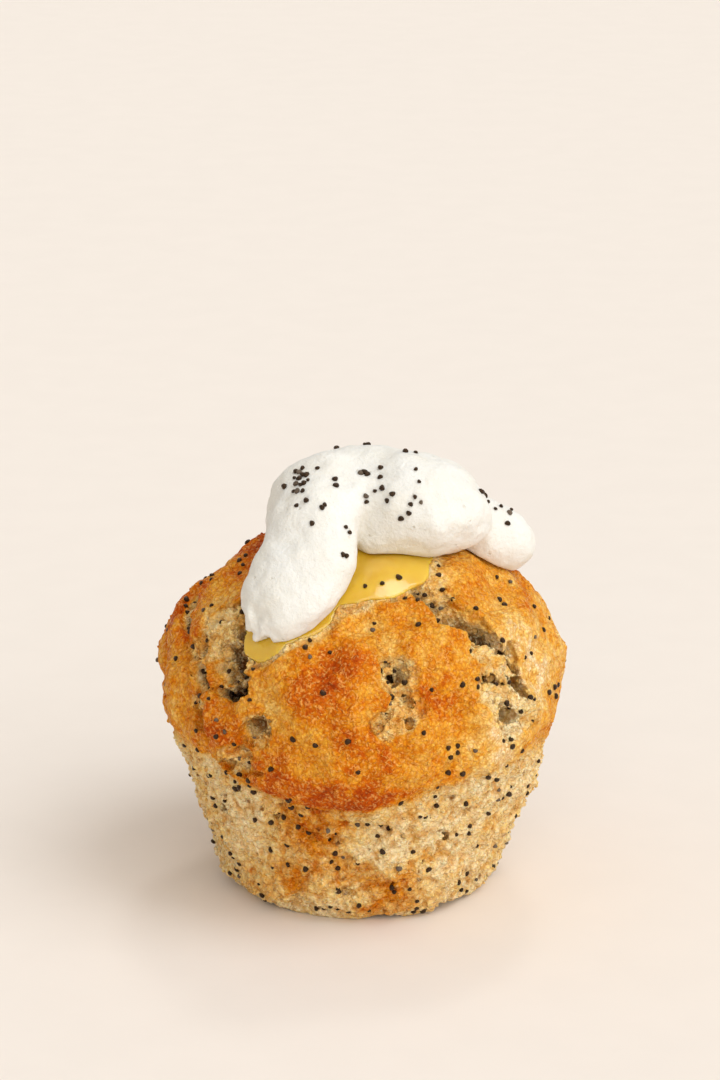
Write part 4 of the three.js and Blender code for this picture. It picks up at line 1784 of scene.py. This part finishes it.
@dataclass
class CreamPiece:
    """The spoonful of cream with the seeds sprinkled over it."""

    form: CreamForm
    step: float = 0.42
    sprinkles: tuple[Sprinkle, ...] = (
        Sprinkle((-11.2, -12.0), (1.5, 4.3), 14),
        Sprinkle((-14.1, -11.0), (0.1, 0.1), 1),
        Sprinkle((-10.6, -17.4), (1.4, 0.4), 2),
        Sprinkle((-9.0, -20.7), (0.1, 0.1), 1),
        Sprinkle((-6.8, -18.6), (0.7, 0.4), 2),
        Sprinkle((-8.2, -9.9), (0.1, 0.1), 1),
        Sprinkle((-4.8, -12.8), (0.3, 1.6), 2),
        Sprinkle((0.2, -9.6), (0.8, 0.6), 3),
        Sprinkle((3.5, -9.6), (0.6, 1.4), 2),
        Sprinkle((3.2, -13.6), (1.0, 1.2), 2),
        Sprinkle((0.5, -14.0), (0.9, 0.4), 2),
        Sprinkle((4.9, -15.1), (0.7, 0.6), 2),
        Sprinkle((10.3, -12.0), (1.4, 2.0), 2),
        Sprinkle((9.3, -5.3), (1.6, 1.6), 2),
        Sprinkle((9.9, -15.8), (2.2, 0.3), 3),
        Sprinkle((7.9, -16.6), (1.1, 0.3), 2),
        Sprinkle((-0.3, 0.6), (5.4, 1.0), 3),
        Sprinkle((-2.7, -19.9), (0.7, 0.3), 2),
        Sprinkle((-3.4, -24.2), (0.7, 0.4), 2),
        Sprinkle((22.6, -4.8), (1.3, 2.4), 4),
        Sprinkle((26.8, 0.6), (2.2, 2.8), 5),
        Sprinkle((4.0, 8.0), (8.0, 4.0), 5),
    )

    def places(self) -> list[tuple[float, float]]:
        """Where each seed fell, in plan: a spiral from the middle of each patch.

        Returns:
            Places in plan, in millimetres.
        """
        found = []
        index = 0
        for patch in self.sprinkles:
            for i in range(patch.count):
                index += 1
                reach = math.sqrt((i + 0.5) / patch.count)
                turn = index * GOLDEN_TURN
                found.append((
                    patch.at[0] + patch.spread[0] * reach * math.cos(turn),
                    patch.at[1] + patch.spread[1] * reach * math.sin(turn),
                ))
        return found

    def build(self, finish: bpy.types.Material, coat: bpy.types.Material, seeds: ScatterTree) -> None:
        """Builds the cream and its seeds, and ties them to the part.

        Args:
            finish: Finish of the cream.
            coat: Finish of the seeds.
            seeds: Tree that lays seeds.
        """
        step = self.step * 1.0
        low, high = (-26, -35, 52), (36, 19, 88)
        points, quads = field_net(self.form.distance, self.form.lobed, low, high, step, (14.0, 2.5))
        piece = object_of("whipped_cream_spoonful", mesh_of("whipped_cream_spoonful", points, quads))
        piece.data.materials.append(finish)
        laid = object_of("whipped_cream_seeds", dropped_seeds("cream_seed_points", piece, self.places(), 9))
        seeds.run(laid, {"Coat": coat, "Chance": 11})
        for one in (piece, laid):
            tie(one, Node.CREAM, Slot.CREAM)


def seed_carrier(
    name: str, points: np.ndarray, ways: np.ndarray, source: np.random.Generator
) -> bpy.types.Mesh:
    """A mesh of points that each carry a seed's way out and size.

    Args:
        name: Name of the mesh.
        points: Where the seeds lie, in millimetres.
        ways: The way out of the surface at each.
        source: Where their sizes are drawn from.

    Returns:
        The mesh.
    """
    mesh = bpy.data.meshes.new(name)
    mesh.vertices.add(len(points))
    move_points(mesh, points)
    store(mesh, "way_out", ways)
    store(mesh, "grow", source.uniform(0.66, 1.1, len(points)))
    covered = source.random(len(points)) < 0.14
    store(mesh, "veil", 0.55 * covered * source.uniform(0.4, 1.0, len(points)))
    return mesh


def dropped_seeds(
    name: str, target: bpy.types.Object, places: Sequence[tuple[float, float]], seed: int
) -> bpy.types.Mesh:
    """Points for seeds dropped straight down onto a piece.

    Args:
        name: Name of the mesh of points.
        target: The piece they fall on.
        places: Where they fall, in plan, in millimetres.
        seed: Number that fixes their sizes.

    Returns:
        A mesh of points with each seed's way out and size.
    """
    tree = BVHTree.FromObject(target, bpy.context.evaluated_depsgraph_get())
    found, ways = [], []
    for x, y in places:
        hit, normal, _, _ = tree.ray_cast(Vector((x * MM, y * MM, 0.2)), Vector((0.0, 0.0, -1.0)))
        if hit is not None:
            found.append(np.array(hit) / MM + np.array(normal) * 0.18)
            ways.append(np.array(normal))
    return seed_carrier(name, np.array(found), np.array(ways), np.random.default_rng(seed))


def tie(piece: bpy.types.Object, node: Node, slot: Slot) -> None:
    """Makes a piece move with the part, and hides the solid that it stands in for.

    Args:
        piece: The piece.
        node: The solid that it stands for.
        slot: Not used.
    """
    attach(piece, ROOT)
    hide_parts(node.value)
    LOG.info("%s: %d faces", piece.name, len(piece.data.polygons))


# Studio


@dataclass(frozen=True)
class Sun:
    """A soft light from far off: the way to it, its width in degrees, its strength and its colour."""

    name: str
    way: Triple
    angle: float
    power: float
    colour: Triple


@dataclass
class Studio:
    """The pale table, the soft lights and the camera."""

    floor_half: float = 6.0
    lens: float = 113.33
    sensor: float = 36.0
    eye: Triple = (-0.000385, -0.6056, 0.2562)
    pitch: float = 17.4
    suns: tuple[Sun, ...] = (
        Sun("key", (0.55, -0.2, 0.95), 34.0, 0.92, (0.95, 1.0, 1.06)),
        Sun("front_fill", (0.38, -0.85, 0.34), 84.0, 1.8, (1.0, 1.0, 1.0)),
        Sun("right_fill", (0.95, -0.25, 0.2), 60.0, 0.36, (1.0, 1.0, 1.04)),
        Sun("back_glint", (0.12, 0.52, 0.84), 9.0, 0.26, (1.0, 1.0, 1.0)),
    )
    sky: Triple = (1.05, 1.0, 0.94)
    sky_power: float = 0.54

    def build(self, finish: bpy.types.Material) -> None:
        """Makes the table, the lights, the sky and the camera.

        Args:
            finish: Finish of the table.
        """
        self.floor(finish)
        self.lights()
        self.ambient()
        self.camera()

    def floor(self, finish: bpy.types.Material) -> None:
        """The table top, which fills the view.

        Args:
            finish: Finish of the table.
        """
        signs = ((-1, -1, 0), (1, -1, 0), (1, 1, 0), (-1, 1, 0))
        corners = np.array(signs) * self.floor_half / MM
        floor = object_of("table_top", mesh_of("table_top", corners, np.array([[0, 1, 2, 3]])))
        floor.data.materials.append(finish)

    def lights(self) -> None:
        """The wide soft lights from far off."""
        for sun in self.suns:
            data = bpy.data.lights.new(sun.name, "SUN")
            data.energy, data.angle, data.color = sun.power, math.radians(sun.angle), sun.colour
            light = bpy.data.objects.new(sun.name, data)
            light.rotation_euler = (-Vector(sun.way)).to_track_quat("-Z", "Y").to_euler()
            bpy.context.scene.collection.objects.link(light)

    def ambient(self) -> None:
        """Even pale light from all round."""
        world = bpy.data.worlds.new("pale_room")
        world.use_nodes = True
        background = world.node_tree.nodes["Background"]
        background.inputs["Color"].default_value = (*self.sky, 1.0)
        background.inputs["Strength"].default_value = self.sky_power
        bpy.context.scene.world = world

    def camera(self) -> None:
        """The camera, level from side to side and tipped down at the muffin."""
        data = bpy.data.cameras.new("camera")
        data.lens, data.sensor_width = self.lens, self.sensor
        data.clip_start, data.clip_end = 0.01, 20.0
        camera = bpy.data.objects.new("camera", data)
        camera.location = self.eye
        camera.rotation_euler = (math.radians(90.0 - self.pitch), 0.0, 0.0)
        bpy.context.scene.collection.objects.link(camera)
        bpy.context.scene.camera = camera


def main() -> None:
    """Builds the studio, then the cake, the curd and the cream."""
    logging.basicConfig(level=logging.INFO, format="%(message)s")
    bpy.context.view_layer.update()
    bpy.context.scene.view_settings.view_transform = "Standard"
    Studio().build(TableFinish().material())
    cake = CakeForm()
    cream = CreamForm(cake)
    coat = SeedFinish().material()
    seeds, crumb = seed_tree(), crumb_tree()
    CakePiece(cake, cream).build(CrustFinish().material(), coat, seeds, crumb)
    CurdPiece(cake).build(CurdFinish().material(), coat, seeds)
    CreamPiece(cream).build(CreamFinish().material(), coat, seeds)


if __name__ == "__main__":
    main()
